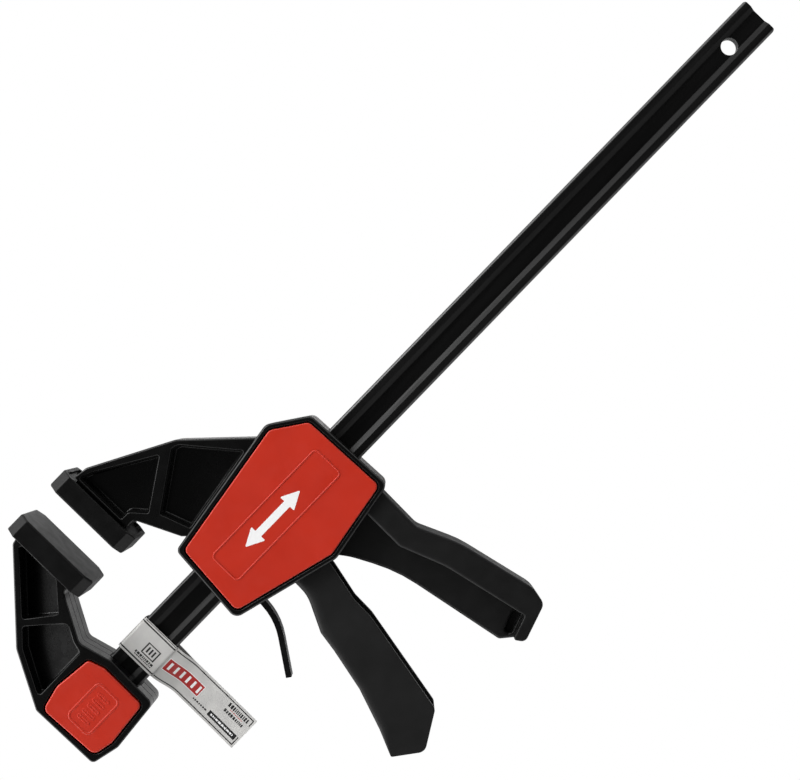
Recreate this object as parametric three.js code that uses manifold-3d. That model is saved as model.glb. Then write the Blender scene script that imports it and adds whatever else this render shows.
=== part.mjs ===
// One-handed trigger bar clamp, lying on its side. Millimetres, +Z up.
// The bar runs along X and the jaws reach towards +Y. The origin is the centre of the fixed
// pad's clamping face, on the middle plane of the bar.

import * as THREE from 'three';
import { mergeVertices } from 'three/addons/utils/BufferGeometryUtils.js';
import Module from 'manifold-3d';

const wasm = await Module();
wasm.setup();

// ---------------------------------------------------------------- driving dimensions

const GAP = 0.3; // between pieces that touch or slide on each other
const ARC_STEP = THREE.MathUtils.degToRad(18); // longest facet of a rounded corner
const COPLANAR_REACH = 1; // how far a cutter runs past the face it opens
const JOIN_OVERLAP = 1; // how far two shapes joined into one piece reach into each other
const COIL_STEPS_PER_TURN = 14;
const SCREW_SIDES = 16;
const SCREW_BORE_SIDES = 12;
const BAR_HOLE_SIDES = 24;

// Steel bar: a rail with a wide shallow groove down each side
const BAR_Y = -71.3;
const BAR_HEIGHT = 22.9;
const BAR_THICKNESS = 9.5;
const BAR_WEB = 5.8;
const BAR_GROOVE_FLOOR = 8;
const BAR_GROOVE_MOUTH = 13.6;
const BAR_START = -64;
const BAR_END = 468.3;
const BAR_HOLE_RADIUS = 4.7;
const BAR_HOLE_INSET = 23.3;

// Pads: soft caps pushed onto a tongue on each jaw
const PAD_WIDTH = 40;
const PAD_HEIGHT = 52.8;
const PAD_THICKNESS = 11.5;
const PAD_CHAMFER_ACROSS = 4.8;
const PAD_CHAMFER_ALONG = 5.2;
const JAW_OPENING = 20.9; // distance between the pads as stored
const TONGUE_LOW = -17;
const TONGUE_HIGH = 18;
const TONGUE_WIDTH = 22;
const TONGUE_LENGTH = 6;

// Jaw arms
const ARM_HALF = 14;
const FIXED_HALF = 14.2;
const FIXED_POCKET_FLOOR = 3;
const FIXED_POCKET_SLOPE = 0.2; // the web rises towards the throat, along x - y
const FIXED_POCKET_DEEPEST = -29; // x - y at the outer rim, where the pocket is deepest
const MOVING_POCKET_FLOOR = 2.5;

// Quick-release button and its latch in the fixed jaw
const BUTTON_TOP = 15;
const BUTTON_BOTTOM = 10.6;
const BUTTON_TRAVEL = 2;
const BUTTON_CLEARANCE = 0.9;
const LEG_WIDTH = 10;
const LEG_THICKNESS = 3;
const LEG_FROM_BAR = 13.3; // bar axis to the inner face of a leg
const LEG_END = -8.1;
const LATCH_PLATE_THICKNESS = 1.8;
const LATCH_PIN_RADIUS = 4.2;
const LATCH_PIN_TOP = -1.4;
const JAW_COVER_INNER = -12.5;
const LATCH_PLATE_HALF = 6;
const LATCH_PLATE_OVERHANG = 1; // past the outer face of each leg
const LATCH_SHANK_RADIUS = 1.7;
const BUTTON_SPRING_RADIUS = 2.1;
const BUTTON_SPRING_WIRE = 0.35;
const BUTTON_SPRING_TURNS = 6;
const BUTTON_SPRING_BORE = 3;
const BUTTON_SPRING_FOOT = -1.8;
const BUTTON_SPRING_X = -56;
const BUTTON_SPRING_FROM_BAR = 14.8;
const JAW_SCREW_X = -61;
const JAW_SCREW_FROM_BAR = 13.5;
const JAW_SCREW_LENGTH = 7;

// Housing of the moving jaw and its covers
const HOUSING_HALF = 17;
const HOUSING_WALL = 5.5;
const LIP_WALL = 2.5;
const COVER_GROOVE = 1;
const LEDGE = 14.6;
const COVER_FACE = 17.3;
const HOUSING_SPAN = [30, 160]; // runs past both ends of the housing
const FLOOR_SPAN = [-115, -90]; // runs past both faces of the housing's floor
const TRIGGER_SLOT = [73, 116];
const BRAKE_SLOT = [49.5, 64.5];
const BRAKE_NOTCH = [54.5, 59.1];
const BRAKE_NOTCH_DEPTH = 8; // below the lever's pivot
const COVER_BOSS_RADIUS = 3.4;
const COVER_SCREWS = [[68, -52.5], [126, -47.8], [128, -95]];
const SCREW_SHANK_RADIUS = 1.5;
const SCREW_HEAD_RADIUS = 2.9;
const SCREW_HEAD_HEIGHT = 1.7;
const SCREW_HEAD_RIM = 0.3;
const SCREW_TIP_RADIUS = 0.4;
const SCREW_TIP_LENGTH = 1;
const COVER_SCREW_LENGTH = 18;
const SCREW_BORE_TOP = 4; // height of the blind bores in the front cover's bosses

// Trigger, drive plates and drive spring
const PIVOT_X = 84;
const PIVOT_Y = -52;
const PIVOT_PIN_RADIUS = 2.5;
const TRIGGER_HALF = 12;
const TRIGGER_CHANNEL_HALF = 8.2;
const EAR_RADIUS = 6;
const EAR_CORNER = 5.9;
const EAR_ROOT_Y = -42; // inside the housing's top wall
const EAR_CLEARANCE = 0.4;
const SLOT_CLEARANCE = 0.6;
const PLATE_COUNT = 3;
const PLATE_THICKNESS = 2;
const PLATE_FRONT = 92.9;
const PLATE_HALF_HEIGHT = 16.5;
const PLATE_HALF_WIDTH = 11;
const DRIVE_SPRING_RADIUS = 13.6;
const DRIVE_SPRING_WIRE = 0.8;
const DRIVE_SPRING_END = 138.9;
const DRIVE_SPRING_TURNS = 7;
const PLATE_CORNER = 2;

// Brake lever: a strap with a window for the bar, bent forward below the housing
const BRAKE_X = 56.8;
const BRAKE_Y = -49.5;
const BRAKE_TILT = THREE.MathUtils.degToRad(4);
const BRAKE_THICKNESS = 3.2;
const BRAKE_HALF_WIDTH = 8.5;
const BRAKE_TAIL_HALF_WIDTH = 4.5;
const BRAKE_SHOULDER = 40; // distance below the pivot where the strap narrows to its tail
const BRAKE_TOP = 1.5;
const BRAKE_STRAIGHT = 61.5;
const BRAKE_BEND = THREE.MathUtils.degToRad(31);
const BRAKE_BEND_RADIUS = 37;
const BRAKE_TAIL = 32.5;
const BRAKE_WINDOW = [9.7, 34]; // distances below the pivot
const BRAKE_SPRING_Y = -92;
const BRAKE_SPRING_RADIUS = 3.1;
const BRAKE_SPRING_WIRE = 0.4;
const BRAKE_SPRING_TURNS = 3;
const BRAKE_SPRING_CLEARANCE = 0.5;
const BRAKE_SEAT_X = 66;
const BRAKE_SEAT_THICKNESS = 2.4;
const BRAKE_SEAT_SPAN = [-99, -86];

// Grip
const GRIP_RIB_HALF = 14;
const GRIP_WEB_HALF = 4.5;

// Printed film tag folded over the bar
const TAG_SHEET = 0.4;
const TAG_BAND = [-17.5, 3.7];
const TAG_FLAG = [-15.8, 4.2];
const TAG_BOTTOM = -142;

// ---------------------------------------------------------------- outlines
// Each corner is [x, y, radius]; outlines run counter-clockwise seen from +Z.

const FIXED_JAW_OUTLINE = [
  [-PAD_THICKNESS - GAP, 19.8, 0],
  [-15.6, 19.3, 4],
  [-54.9, -21.4, 8],
  [-71.1, -51.9, 4],
  [-70.4, -93.4, 3],
  [-54.9, -97.1, 6],
  [-24.9, -94.4, 4],
  [-23.9, -62.7, 1],
  [-28.9, -43.5, 5],
  [-15.3, -18.6, 2.5],
  [-PAD_THICKNESS - GAP, -18.6, 0],
];
const FIXED_UPPER_POCKET = [
  [-13.2, 16.4, 1],
  [-41.1, -12.6, 1.5],
  [-25.9, -25, 1.5],
  [-13.2, -11, 4],
];
const FIXED_LOWER_POCKET = [
  [-43.9, -15.6, 1.5],
  [-52.2, -24, 4],
  [-64.6, -47.6, 1.5],
  [-32.2, -47.6, 2],
  [-30.6, -41, 4],
  [-25.5, -31.6, 4],
];
const BUTTON_OUTLINE = [
  [-53.6, -51, 8],
  [-67.8, -54.4, 4],
  [-66.2, -90.6, 4.5],
  [-55, -93, 8],
  [-29.6, -90.6, 3],
  [-29.3, -62.6, 8],
  [-32.4, -53.3, 2.5],
];
const HOUSING_OUTLINE = [
  [124.3, -33.7, 6],
  [42.8, -46.3, 3.5],
  [38.7, -94.2, 5],
  [99.2, -110.7, 8],
  [146.5, -102.9, 4.5],
  [144.7, -47.9, 5],
];
const COVER_CORNERS = [5, 3.5, 4, 5.5, 3.5, 3.5]; // radii of the cover's corners, in the same order
const ARM_OUTLINE = [
  [JAW_OPENING + PAD_THICKNESS + GAP, 19.8, 0],
  [JAW_OPENING + PAD_THICKNESS + GAP, -18.6, 0],
  [38.3, -18.6, 3],
  [49.8, -43, 0],
  [55, -48, 0],
  [112, -44, 0],
  [115, -34.5, 0],
  [84.6, -4.6, 8],
  [40.5, 19.2, 4],
];
const ARM_UPPER_POCKET = [
  [34, 17.8, 1],
  [34, -13.6, 1],
  [39.4, -13.6, 3],
  [46.4, -21.8, 1],
  [73, -4.2, 1],
  [40.5, 15.6, 3],
];
const ARM_LOWER_POCKET = [
  [50.4, -26.5, 1],
  [56.2, -43.2, 1],
  [106.2, -35.4, 1],
  [83.6, -7.4, 5],
  [79.6, -6.6, 1],
];
const TRIGGER_OUTLINE = [
  [89.5, -46.5, 5.4],
  [78.5, -46.5, 5.4],
  [73.9, -100, 0],
  [73.5, -113.5, 22],
  [64, -132.6, 3],
  [58.3, -168.8, 200],
  [42.7, -205.8, 1.2],
  [57.4, -217, 5],
  [77.6, -205, 3.5],
  [89, -146, 15],
  [89.4, -133, 15],
  [94.8, -109, 4],
  [86.4, -91.6, 2],
  [92.6, -71.3, 2],
];
// Inside of the trigger's channel; it also clears the bar above the front wall.
const TRIGGER_CHANNEL = [
  [100, -57.8, 0],
  [60, -57.8, 0],
  [60, -86, 0],
  [77.6, -86, 0],
  [77.2, -113, 18],
  [68, -132, 3],
  [62, -168, 200],
  [47.6, -203.2, 0],
  [57.4, -211.4, 2],
  [66, -207, 2],
  [100, -200, 0],
];
const GRIP_RIB_OUTLINE = [
  [127.4, -100, 0],
  [127, -130.5, 6],
  [136.5, -155.5, 40],
  [147.2, -204.4, 1.5],
  [133.6, -209, 1],
  [137.2, -214.3, 3.5],
  [158.8, -207.4, 5],
  [161, -197.5, 8],
  [151, -152.5, 25],
  [141, -129.5, 6],
  [141.8, -100, 0],
];
const GRIP_WEB_OUTLINE = [
  [130, -103, 0],
  [112, -104.5, 0],
  [99.4, -110, 1],
  [103.8, -116, 5],
  [115.6, -139, 15],
  [127.8, -204.6, 3],
  [136, -211.5, 0],
  [150, -207, 0],
  [140, -160, 0],
];

// ---------------------------------------------------------------- geometry helpers

// Moves a path sideways, to its left when distance is positive, and adjusts its corner radii.
function offsetCorners(corners, distance, closed = true) {
  const count = corners.length;
  const direction = (from, to) =>
    new THREE.Vector2(corners[to][0] - corners[from][0], corners[to][1] - corners[from][1]).normalize();
  return corners.map(([x, y, radius], i) => {
    const before = closed || i > 0 ? direction((i + count - 1) % count, i) : direction(i, i + 1);
    const after = closed || i < count - 1 ? direction(i, (i + 1) % count) : before;
    const reach = distance / (1 + before.dot(after));
    const turn = Math.sign(Math.round(before.cross(after) * 1e6));
    return [
      x - (before.y + after.y) * reach,
      y + (before.x + after.x) * reach,
      radius > 0 ? Math.max(radius - turn * distance, 0) : 0,
    ];
  });
}

// Points of a closed outline with each corner [x, y, radius] rounded by an arc.
function rounded(corners) {
  const count = corners.length;
  const points = [];
  corners.forEach(([x, y, radius], i) => {
    const corner = new THREE.Vector2(x, y);
    const previous = new THREE.Vector2(...corners[(i + count - 1) % count].slice(0, 2));
    const next = new THREE.Vector2(...corners[(i + 1) % count].slice(0, 2));
    const before = corner.clone().sub(previous).normalize();
    const after = next.sub(corner).normalize();
    const turn = Math.atan2(before.cross(after), before.dot(after));
    if (radius < 0.05 || Math.abs(turn) < 0.01) {
      points.push(corner);
      return;
    }
    const side = Math.sign(turn);
    const start = corner.clone().addScaledVector(before, -radius * Math.tan(Math.abs(turn) / 2));
    const centre = start.clone().add(new THREE.Vector2(-before.y, before.x).multiplyScalar(side * radius));
    const steps = Math.max(1, Math.ceil(Math.abs(turn) / ARC_STEP));
    for (let k = 0; k <= steps; k += 1) {
      points.push(start.clone().rotateAround(centre, (turn * k) / steps));
    }
  });
  return points;
}

// Closed outline of a strap of the given width along an open path of corners.
function strap(path, width) {
  const right = offsetCorners(path, -width / 2, false);
  const left = offsetCorners(path, width / 2, false).reverse();
  return rounded([...right, ...left]);
}

// A prism on an outline in the XY plane, from z = low to z = high.
function prism(points, low, high) {
  const geometry = new THREE.ExtrudeGeometry(new THREE.Shape(points), {
    depth: high - low,
    bevelEnabled: false,
  });
  return geometry.translate(0, 0, low);
}

// A prism on an outline of [y, z] points, from x = low to x = high.
function prismAlongX(points, low, high) {
  const turned = new THREE.Matrix4().makeBasis(
    new THREE.Vector3(0, 1, 0),
    new THREE.Vector3(0, 0, 1),
    new THREE.Vector3(1, 0, 0),
  );
  return prism(points, low, high).applyMatrix4(turned);
}

function box([x0, x1], [y0, y1], [z0, z1]) {
  const geometry = new THREE.BoxGeometry(x1 - x0, y1 - y0, z1 - z0);
  return geometry.translate((x0 + x1) / 2, (y0 + y1) / 2, (z0 + z1) / 2);
}

// A round pin or hole standing on (x, y), from z = low to z = high.
function pin(x, y, radius, low, high, sides = 20) {
  const geometry = new THREE.CylinderGeometry(radius, radius, high - low, sides);
  return geometry.rotateX(Math.PI / 2).translate(x, y, (low + high) / 2);
}

class Helix extends THREE.Curve {
  constructor(radius, length, turns) {
    super();
    this.radius = radius;
    this.length = length;
    this.turns = turns;
  }

  getPoint(t, target = new THREE.Vector3()) {
    const angle = 2 * Math.PI * this.turns * t;
    return target.set(this.radius * Math.cos(angle), this.radius * Math.sin(angle), this.length * t);
  }
}

// A coil spring standing on the origin, with its axis along Z.
function coil(radius, wire, length, turns) {
  const section = new THREE.Shape();
  section.absarc(0, 0, wire, 0, 2 * Math.PI);
  const geometry = new THREE.ExtrudeGeometry(section, {
    extrudePath: new Helix(radius, length - 2 * wire, turns),
    steps: turns * COIL_STEPS_PER_TURN,
    curveSegments: 3,
    bevelEnabled: false,
  });
  return geometry.translate(0, 0, wire);
}

// Cutters for a pocket sunk from both sides of an arm of the given half thickness.
// floorAt gives the height of the pocket's floor above the middle plane.
function sidePockets(corners, half, floorAt) {
  return [1, -1].map((side) => {
    const top = side * (half + COPLANAR_REACH);
    const geometry = prism(rounded(corners), Math.min(0, top), Math.max(0, top));
    const position = geometry.getAttribute('position');
    for (let i = 0; i < position.count; i += 1) {
      if (Math.abs(position.getZ(i)) < 1e-6) {
        position.setZ(i, side * floorAt(position.getX(i), position.getY(i)));
      }
    }
    return geometry;
  });
}

// ---------------------------------------------------------------- booleans and nodes

function toSolid(geometry) {
  const plain = geometry.clone();
  plain.deleteAttribute('normal');
  plain.deleteAttribute('uv');
  const merged = mergeVertices(plain, 1e-4);
  return new wasm.Manifold(
    new wasm.Mesh({
      numProp: 3,
      vertProperties: new Float32Array(merged.getAttribute('position').array),
      triVerts: new Uint32Array(merged.index.array),
    }),
  );
}

// Joins the added geometries, then takes the cut ones away.
function carve(added, cut = []) {
  let result = toSolid(added[0]);
  for (const geometry of added.slice(1)) {
    result = result.add(toSolid(geometry));
  }
  for (const geometry of cut) {
    result = result.subtract(toSolid(geometry));
  }
  const { vertProperties, triVerts } = result.getMesh();
  const carved = new THREE.BufferGeometry();
  carved.setAttribute('position', new THREE.BufferAttribute(new Float32Array(vertProperties), 3));
  carved.setIndex(new THREE.BufferAttribute(new Uint32Array(triVerts), 1));
  carved.computeVertexNormals();
  return carved;
}

const finishes = {
  paintedSteel: { color: 0x1d1d1f, roughness: 0.5, metalness: 0.4 },
  blackMoulding: { color: 0x1a1a1b, roughness: 0.55, metalness: 0 },
  triggerMoulding: { color: 0x262627, roughness: 0.6, metalness: 0 },
  redMoulding: { color: 0xb92f22, roughness: 0.5, metalness: 0 },
  softPad: { color: 0x2c2b2b, roughness: 0.8, metalness: 0 },
  springSteel: { color: 0x8c8c90, roughness: 0.35, metalness: 1 },
  platedSteel: { color: 0xa5a5a8, roughness: 0.4, metalness: 1 },
  printedFilm: { color: 0xb8b5b0, roughness: 0.6, metalness: 0 },
};

const clamp = new THREE.Group();

function addPiece(name, geometry, finish) {
  const mesh = new THREE.Mesh(geometry, new THREE.MeshStandardMaterial(finishes[finish]));
  mesh.name = name;
  clamp.add(mesh);
  return mesh;
}

// ---------------------------------------------------------------- bar and pads

const barTop = BAR_Y + BAR_HEIGHT / 2;
const barBottom = BAR_Y - BAR_HEIGHT / 2;

// Box that clears the bar, from x = low to x = high.
function barPassage(low, high) {
  const half = BAR_THICKNESS / 2 + GAP;
  return box([low, high], [barBottom - GAP, barTop + GAP], [-half, half]);
}

function bar() {
  const edge = BAR_HEIGHT / 2;
  const face = BAR_THICKNESS / 2;
  const section = [
    [-edge, -face, 1],
    [-BAR_GROOVE_MOUTH / 2, -face, 0],
    [-BAR_GROOVE_FLOOR / 2, -BAR_WEB / 2, 0],
    [BAR_GROOVE_FLOOR / 2, -BAR_WEB / 2, 0],
    [BAR_GROOVE_MOUTH / 2, -face, 0],
    [edge, -face, 1],
    [edge, face, 1],
    [BAR_GROOVE_MOUTH / 2, face, 0],
    [BAR_GROOVE_FLOOR / 2, BAR_WEB / 2, 0],
    [-BAR_GROOVE_FLOOR / 2, BAR_WEB / 2, 0],
    [-BAR_GROOVE_MOUTH / 2, face, 0],
    [-edge, face, 1],
  ];
  const rail = prismAlongX(rounded(section), BAR_START, BAR_END).translate(0, BAR_Y, 0);
  const holes = [BAR_START + BAR_HOLE_INSET, BAR_END - BAR_HOLE_INSET].map((x) =>
    pin(x, BAR_Y, BAR_HOLE_RADIUS, -face - COPLANAR_REACH, face + COPLANAR_REACH, BAR_HOLE_SIDES));
  return carve([rail], holes);
}

// A pad whose clamping face is at x = face; back is -1 or 1, the side its pocket opens to.
function pad(face, back) {
  const across = PAD_WIDTH / 2;
  const along = PAD_HEIGHT / 2;
  const octagon = [
    [-along, -across + PAD_CHAMFER_ACROSS],
    [-along + PAD_CHAMFER_ALONG, -across],
    [along - PAD_CHAMFER_ALONG, -across],
    [along, -across + PAD_CHAMFER_ACROSS],
    [along, across - PAD_CHAMFER_ACROSS],
    [along - PAD_CHAMFER_ALONG, across],
    [-along + PAD_CHAMFER_ALONG, across],
    [-along, across - PAD_CHAMFER_ACROSS],
  ].map(([y, z]) => new THREE.Vector2(y, z));
  const rear = face + back * PAD_THICKNESS;
  const cap = prismAlongX(octagon, Math.min(face, rear), Math.max(face, rear));
  return carve([cap], [tongue(rear, -back, TONGUE_LENGTH, GAP)]);
}

// The tongue that holds a pad, or with growth the pocket that takes it.
function tongue(start, side, length, growth = 0) {
  const ends = [start - side * COPLANAR_REACH, start + side * (length + growth - GAP)];
  const half = TONGUE_WIDTH / 2 + growth;
  return box(ends.sort((a, b) => a - b), [TONGUE_LOW - growth, TONGUE_HIGH + growth], [-half, half]);
}

// ---------------------------------------------------------------- fixed jaw

const legOuter = LEG_FROM_BAR + LEG_THICKNESS;
const latchX = BAR_START + BAR_HOLE_INSET;
const latchPlateTop = LEG_END - GAP;

// The strip of Y covered by a button leg on one side of the bar, grown by the given margin.
function legSpan(side, margin = 0) {
  const ends = [BAR_Y + side * (LEG_FROM_BAR - margin), BAR_Y + side * (legOuter + margin)];
  return ends.sort((a, b) => a - b);
}

function latchSpan(margin = 0) {
  const reach = legOuter + LATCH_PLATE_OVERHANG + margin;
  return [BAR_Y - reach, BAR_Y + reach];
}

function fixedJaw() {
  const web = (x, y) => FIXED_POCKET_FLOOR + FIXED_POCKET_SLOPE * (x - y - FIXED_POCKET_DEEPEST);
  const buttonPocket = rounded(offsetCorners(BUTTON_OUTLINE, -BUTTON_CLEARANCE));
  const coverPocket = rounded(offsetCorners(BUTTON_OUTLINE, -GAP));
  const legSlotX = [latchX - LEG_WIDTH / 2 - GAP, latchX + LEG_WIDTH / 2 + GAP];
  const pocketFloor = BUTTON_BOTTOM - BUTTON_TRAVEL - GAP;
  const latchHalf = LATCH_PLATE_HALF + GAP;
  const latchAlong = [latchX - latchHalf, latchX + latchHalf];
  const latchRecess = box(latchAlong, latchSpan(GAP), [JAW_COVER_INNER, LEG_END]);
  const screwTip = -FIXED_HALF + JAW_SCREW_LENGTH + COPLANAR_REACH;
  const cuts = [
    ...sidePockets(FIXED_UPPER_POCKET, FIXED_HALF, web),
    ...sidePockets(FIXED_LOWER_POCKET, FIXED_HALF, web),
    barPassage(BAR_START - GAP, 0),
    prism(buttonPocket, pocketFloor, FIXED_HALF + COPLANAR_REACH),
    prism(coverPocket, -FIXED_HALF - COPLANAR_REACH, JAW_COVER_INNER + GAP),
    latchRecess,
    pin(latchX, BAR_Y, LATCH_PIN_RADIUS + GAP, JAW_COVER_INNER, 0),
  ];
  for (const side of [-1, 1]) {
    cuts.push(box(legSlotX, legSpan(side, GAP), [LEG_END - GAP, pocketFloor + COPLANAR_REACH]));
    const springY = BAR_Y + side * BUTTON_SPRING_FROM_BAR;
    const springTop = pocketFloor + COPLANAR_REACH;
    cuts.push(pin(BUTTON_SPRING_X, springY, BUTTON_SPRING_BORE, BUTTON_SPRING_FOOT - GAP, springTop));
    const screwY = BAR_Y + side * JAW_SCREW_FROM_BAR;
    const screwBore = [JAW_COVER_INNER - GAP, screwTip, SCREW_BORE_SIDES];
    cuts.push(pin(JAW_SCREW_X, screwY, SCREW_SHANK_RADIUS + GAP, ...screwBore));
  }
  const body = prism(rounded(FIXED_JAW_OUTLINE), -FIXED_HALF, FIXED_HALF);
  return carve([body, tongue(-PAD_THICKNESS - GAP, 1, TONGUE_LENGTH)], cuts);
}

function pushButton() {
  const cap = prism(rounded(BUTTON_OUTLINE), BUTTON_BOTTOM, BUTTON_TOP);
  const legX = [latchX - LEG_WIDTH / 2, latchX + LEG_WIDTH / 2];
  const legs = [-1, 1].map((side) => box(legX, legSpan(side), [LEG_END, BUTTON_BOTTOM + JOIN_OVERLAP]));
  return carve([cap, ...legs]);
}

function latchPlate() {
  const along = [latchX - LATCH_PLATE_HALF, latchX + LATCH_PLATE_HALF];
  const plate = box(along, latchSpan(), [latchPlateTop - LATCH_PLATE_THICKNESS, latchPlateTop]);
  const hole = pin(latchX, BAR_Y, LATCH_SHANK_RADIUS + GAP, -FIXED_HALF, 0, SCREW_SIDES);
  return carve([plate], [hole]);
}

function latchPin() {
  const head = pin(latchX, BAR_Y, LATCH_PIN_RADIUS, latchPlateTop + GAP, LATCH_PIN_TOP);
  const shankEnds = [latchPlateTop - LATCH_PLATE_THICKNESS, LATCH_PIN_TOP - JOIN_OVERLAP];
  const shank = pin(latchX, BAR_Y, LATCH_SHANK_RADIUS, ...shankEnds, SCREW_SIDES);
  return carve([head, shank]);
}

// A countersunk screw driven in from below, its head flush with the face at z = face.
function screw(x, y, face, length) {
  const profile = [
    [0, 0],
    [SCREW_HEAD_RADIUS, 0],
    [SCREW_HEAD_RADIUS, SCREW_HEAD_RIM],
    [SCREW_SHANK_RADIUS, SCREW_HEAD_HEIGHT],
    [SCREW_SHANK_RADIUS, length - SCREW_TIP_LENGTH],
    [SCREW_TIP_RADIUS, length],
    [0, length],
  ].map(([radius, height]) => new THREE.Vector2(radius, height));
  return new THREE.LatheGeometry(profile, SCREW_SIDES).rotateX(Math.PI / 2).translate(x, y, face);
}

// The hole that a screw passes through, with its countersink.
function screwHole(x, y, face) {
  const profile = [
    [0, -COPLANAR_REACH],
    [SCREW_HEAD_RADIUS + GAP, -COPLANAR_REACH],
    [SCREW_HEAD_RADIUS + GAP, SCREW_HEAD_RIM + GAP],
    [SCREW_SHANK_RADIUS + GAP, SCREW_HEAD_HEIGHT + GAP],
    [SCREW_SHANK_RADIUS + GAP, 2 * SCREW_HEAD_HEIGHT],
    [0, 2 * SCREW_HEAD_HEIGHT],
  ].map(([radius, height]) => new THREE.Vector2(radius, height));
  return new THREE.LatheGeometry(profile, SCREW_SIDES).rotateX(Math.PI / 2).translate(x, y, face);
}

function jawBackCover() {
  const plate = prism(rounded(BUTTON_OUTLINE), -FIXED_HALF, JAW_COVER_INNER);
  const holes = [-1, 1].map((side) =>
    screwHole(JAW_SCREW_X, BAR_Y + side * JAW_SCREW_FROM_BAR, -FIXED_HALF));
  return carve([plate], holes);
}

// ---------------------------------------------------------------- moving jaw

const coverInset = LIP_WALL + COVER_GROOVE;
const coverInner = LEDGE + GAP;

// Outline inside the housing's lip, with corners rounder than the housing's own.
function coverOutline(distance) {
  const corners = offsetCorners(HOUSING_OUTLINE, distance);
  return rounded(corners.map(([x, y], i) => [x, y, COVER_CORNERS[i] + coverInset - distance]));
}

function movingJaw() {
  const housing = prism(rounded(HOUSING_OUTLINE), -HOUSING_HALF, HOUSING_HALF);
  const cavity = prism(rounded(offsetCorners(HOUSING_OUTLINE, HOUSING_WALL)), -HOUSING_HALF, HOUSING_HALF);
  const lip = coverOutline(LIP_WALL);
  const recesses = [
    prism(lip, LEDGE, HOUSING_HALF + COPLANAR_REACH),
    prism(lip, -HOUSING_HALF - COPLANAR_REACH, -LEDGE),
  ];
  const arm = prism(rounded(ARM_OUTLINE), -ARM_HALF, ARM_HALF);
  const armPockets = [ARM_UPPER_POCKET, ARM_LOWER_POCKET].flatMap((corners) =>
    sidePockets(corners, ARM_HALF, () => MOVING_POCKET_FLOOR));
  const padTongue = tongue(JAW_OPENING + PAD_THICKNESS + GAP, -1, TONGUE_LENGTH);
  const rib = prism(rounded(GRIP_RIB_OUTLINE), -GRIP_RIB_HALF, GRIP_RIB_HALF);
  const web = prism(rounded(GRIP_WEB_OUTLINE), -GRIP_WEB_HALF, GRIP_WEB_HALF);
  const seat = box([BRAKE_SEAT_X, BRAKE_SEAT_X + BRAKE_SEAT_THICKNESS], BRAKE_SEAT_SPAN, [-LEDGE, LEDGE]);
  const ears = [-1, 1].map((side) => {
    const span = [side * (TRIGGER_HALF + EAR_CLEARANCE), side * LEDGE].sort((a, b) => a - b);
    const outline = [
      [PIVOT_X + EAR_RADIUS, EAR_ROOT_Y, 0],
      [PIVOT_X - EAR_RADIUS, EAR_ROOT_Y, 0],
      [PIVOT_X - EAR_RADIUS, PIVOT_Y - EAR_RADIUS, EAR_CORNER],
      [PIVOT_X + EAR_RADIUS, PIVOT_Y - EAR_RADIUS, EAR_CORNER],
    ];
    return prism(rounded(outline), ...span);
  });
  const brakeHalf = BRAKE_HALF_WIDTH + SLOT_CLEARANCE;
  const tailHalf = BRAKE_TAIL_HALF_WIDTH + SLOT_CLEARANCE;
  const brakeNotchHeight = [BRAKE_Y - BRAKE_NOTCH_DEPTH, BRAKE_Y + BRAKE_TOP + COPLANAR_REACH];
  const openings = [
    barPassage(...HOUSING_SPAN),
    pin(PIVOT_X, PIVOT_Y, PIVOT_PIN_RADIUS + GAP, -LEDGE - COPLANAR_REACH, LEDGE + COPLANAR_REACH),
    box(BRAKE_SLOT, FLOOR_SPAN, [-tailHalf, tailHalf]),
    box(BRAKE_NOTCH, brakeNotchHeight, [-brakeHalf, brakeHalf]),
  ];
  const slotHalf = TRIGGER_HALF + SLOT_CLEARANCE;
  const triggerSlot = box(TRIGGER_SLOT, FLOOR_SPAN, [-slotHalf, slotHalf]);
  const shell = carve([housing, arm, rib], [cavity, ...recesses, triggerSlot]);
  return carve([shell, padTongue, web, seat, ...ears], [...armPockets, ...openings]);
}

function frontCover() {
  const plate = prism(coverOutline(coverInset), coverInner, COVER_FACE);
  const bossEnds = [-coverInner + GAP, coverInner + COPLANAR_REACH];
  const bosses = COVER_SCREWS.map(([x, y]) => pin(x, y, COVER_BOSS_RADIUS, ...bossEnds));
  const boreEnds = [-HOUSING_HALF, SCREW_BORE_TOP];
  const screwBores = COVER_SCREWS.map(([x, y]) =>
    pin(x, y, SCREW_SHANK_RADIUS + GAP, ...boreEnds, SCREW_BORE_SIDES));
  return carve([plate, ...bosses], screwBores);
}

function backCover() {
  const plate = prism(coverOutline(coverInset), -COVER_FACE, -coverInner);
  return carve([plate], COVER_SCREWS.map(([x, y]) => screwHole(x, y, -COVER_FACE)));
}

// ---------------------------------------------------------------- trigger and drive

function trigger() {
  const body = prism(rounded(TRIGGER_OUTLINE), -TRIGGER_HALF, TRIGGER_HALF);
  const channel = prism(rounded(TRIGGER_CHANNEL), -TRIGGER_CHANNEL_HALF, TRIGGER_CHANNEL_HALF);
  const boreEnd = TRIGGER_HALF + COPLANAR_REACH;
  const bore = pin(PIVOT_X, PIVOT_Y, PIVOT_PIN_RADIUS + GAP, -boreEnd, boreEnd);
  return carve([body], [channel, bore]);
}

function drivePlate(index) {
  const front = PLATE_FRONT + index * (PLATE_THICKNESS + GAP);
  const outline = [
    [-PLATE_HALF_HEIGHT, -PLATE_HALF_WIDTH, PLATE_CORNER],
    [PLATE_HALF_HEIGHT, -PLATE_HALF_WIDTH, PLATE_CORNER],
    [PLATE_HALF_HEIGHT, PLATE_HALF_WIDTH, PLATE_CORNER],
    [-PLATE_HALF_HEIGHT, PLATE_HALF_WIDTH, PLATE_CORNER],
  ];
  const plate = prismAlongX(rounded(outline), front, front + PLATE_THICKNESS).translate(0, BAR_Y, 0);
  return carve([plate], [barPassage(front - COPLANAR_REACH, front + PLATE_THICKNESS + COPLANAR_REACH)]);
}

// ---------------------------------------------------------------- brake

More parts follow.
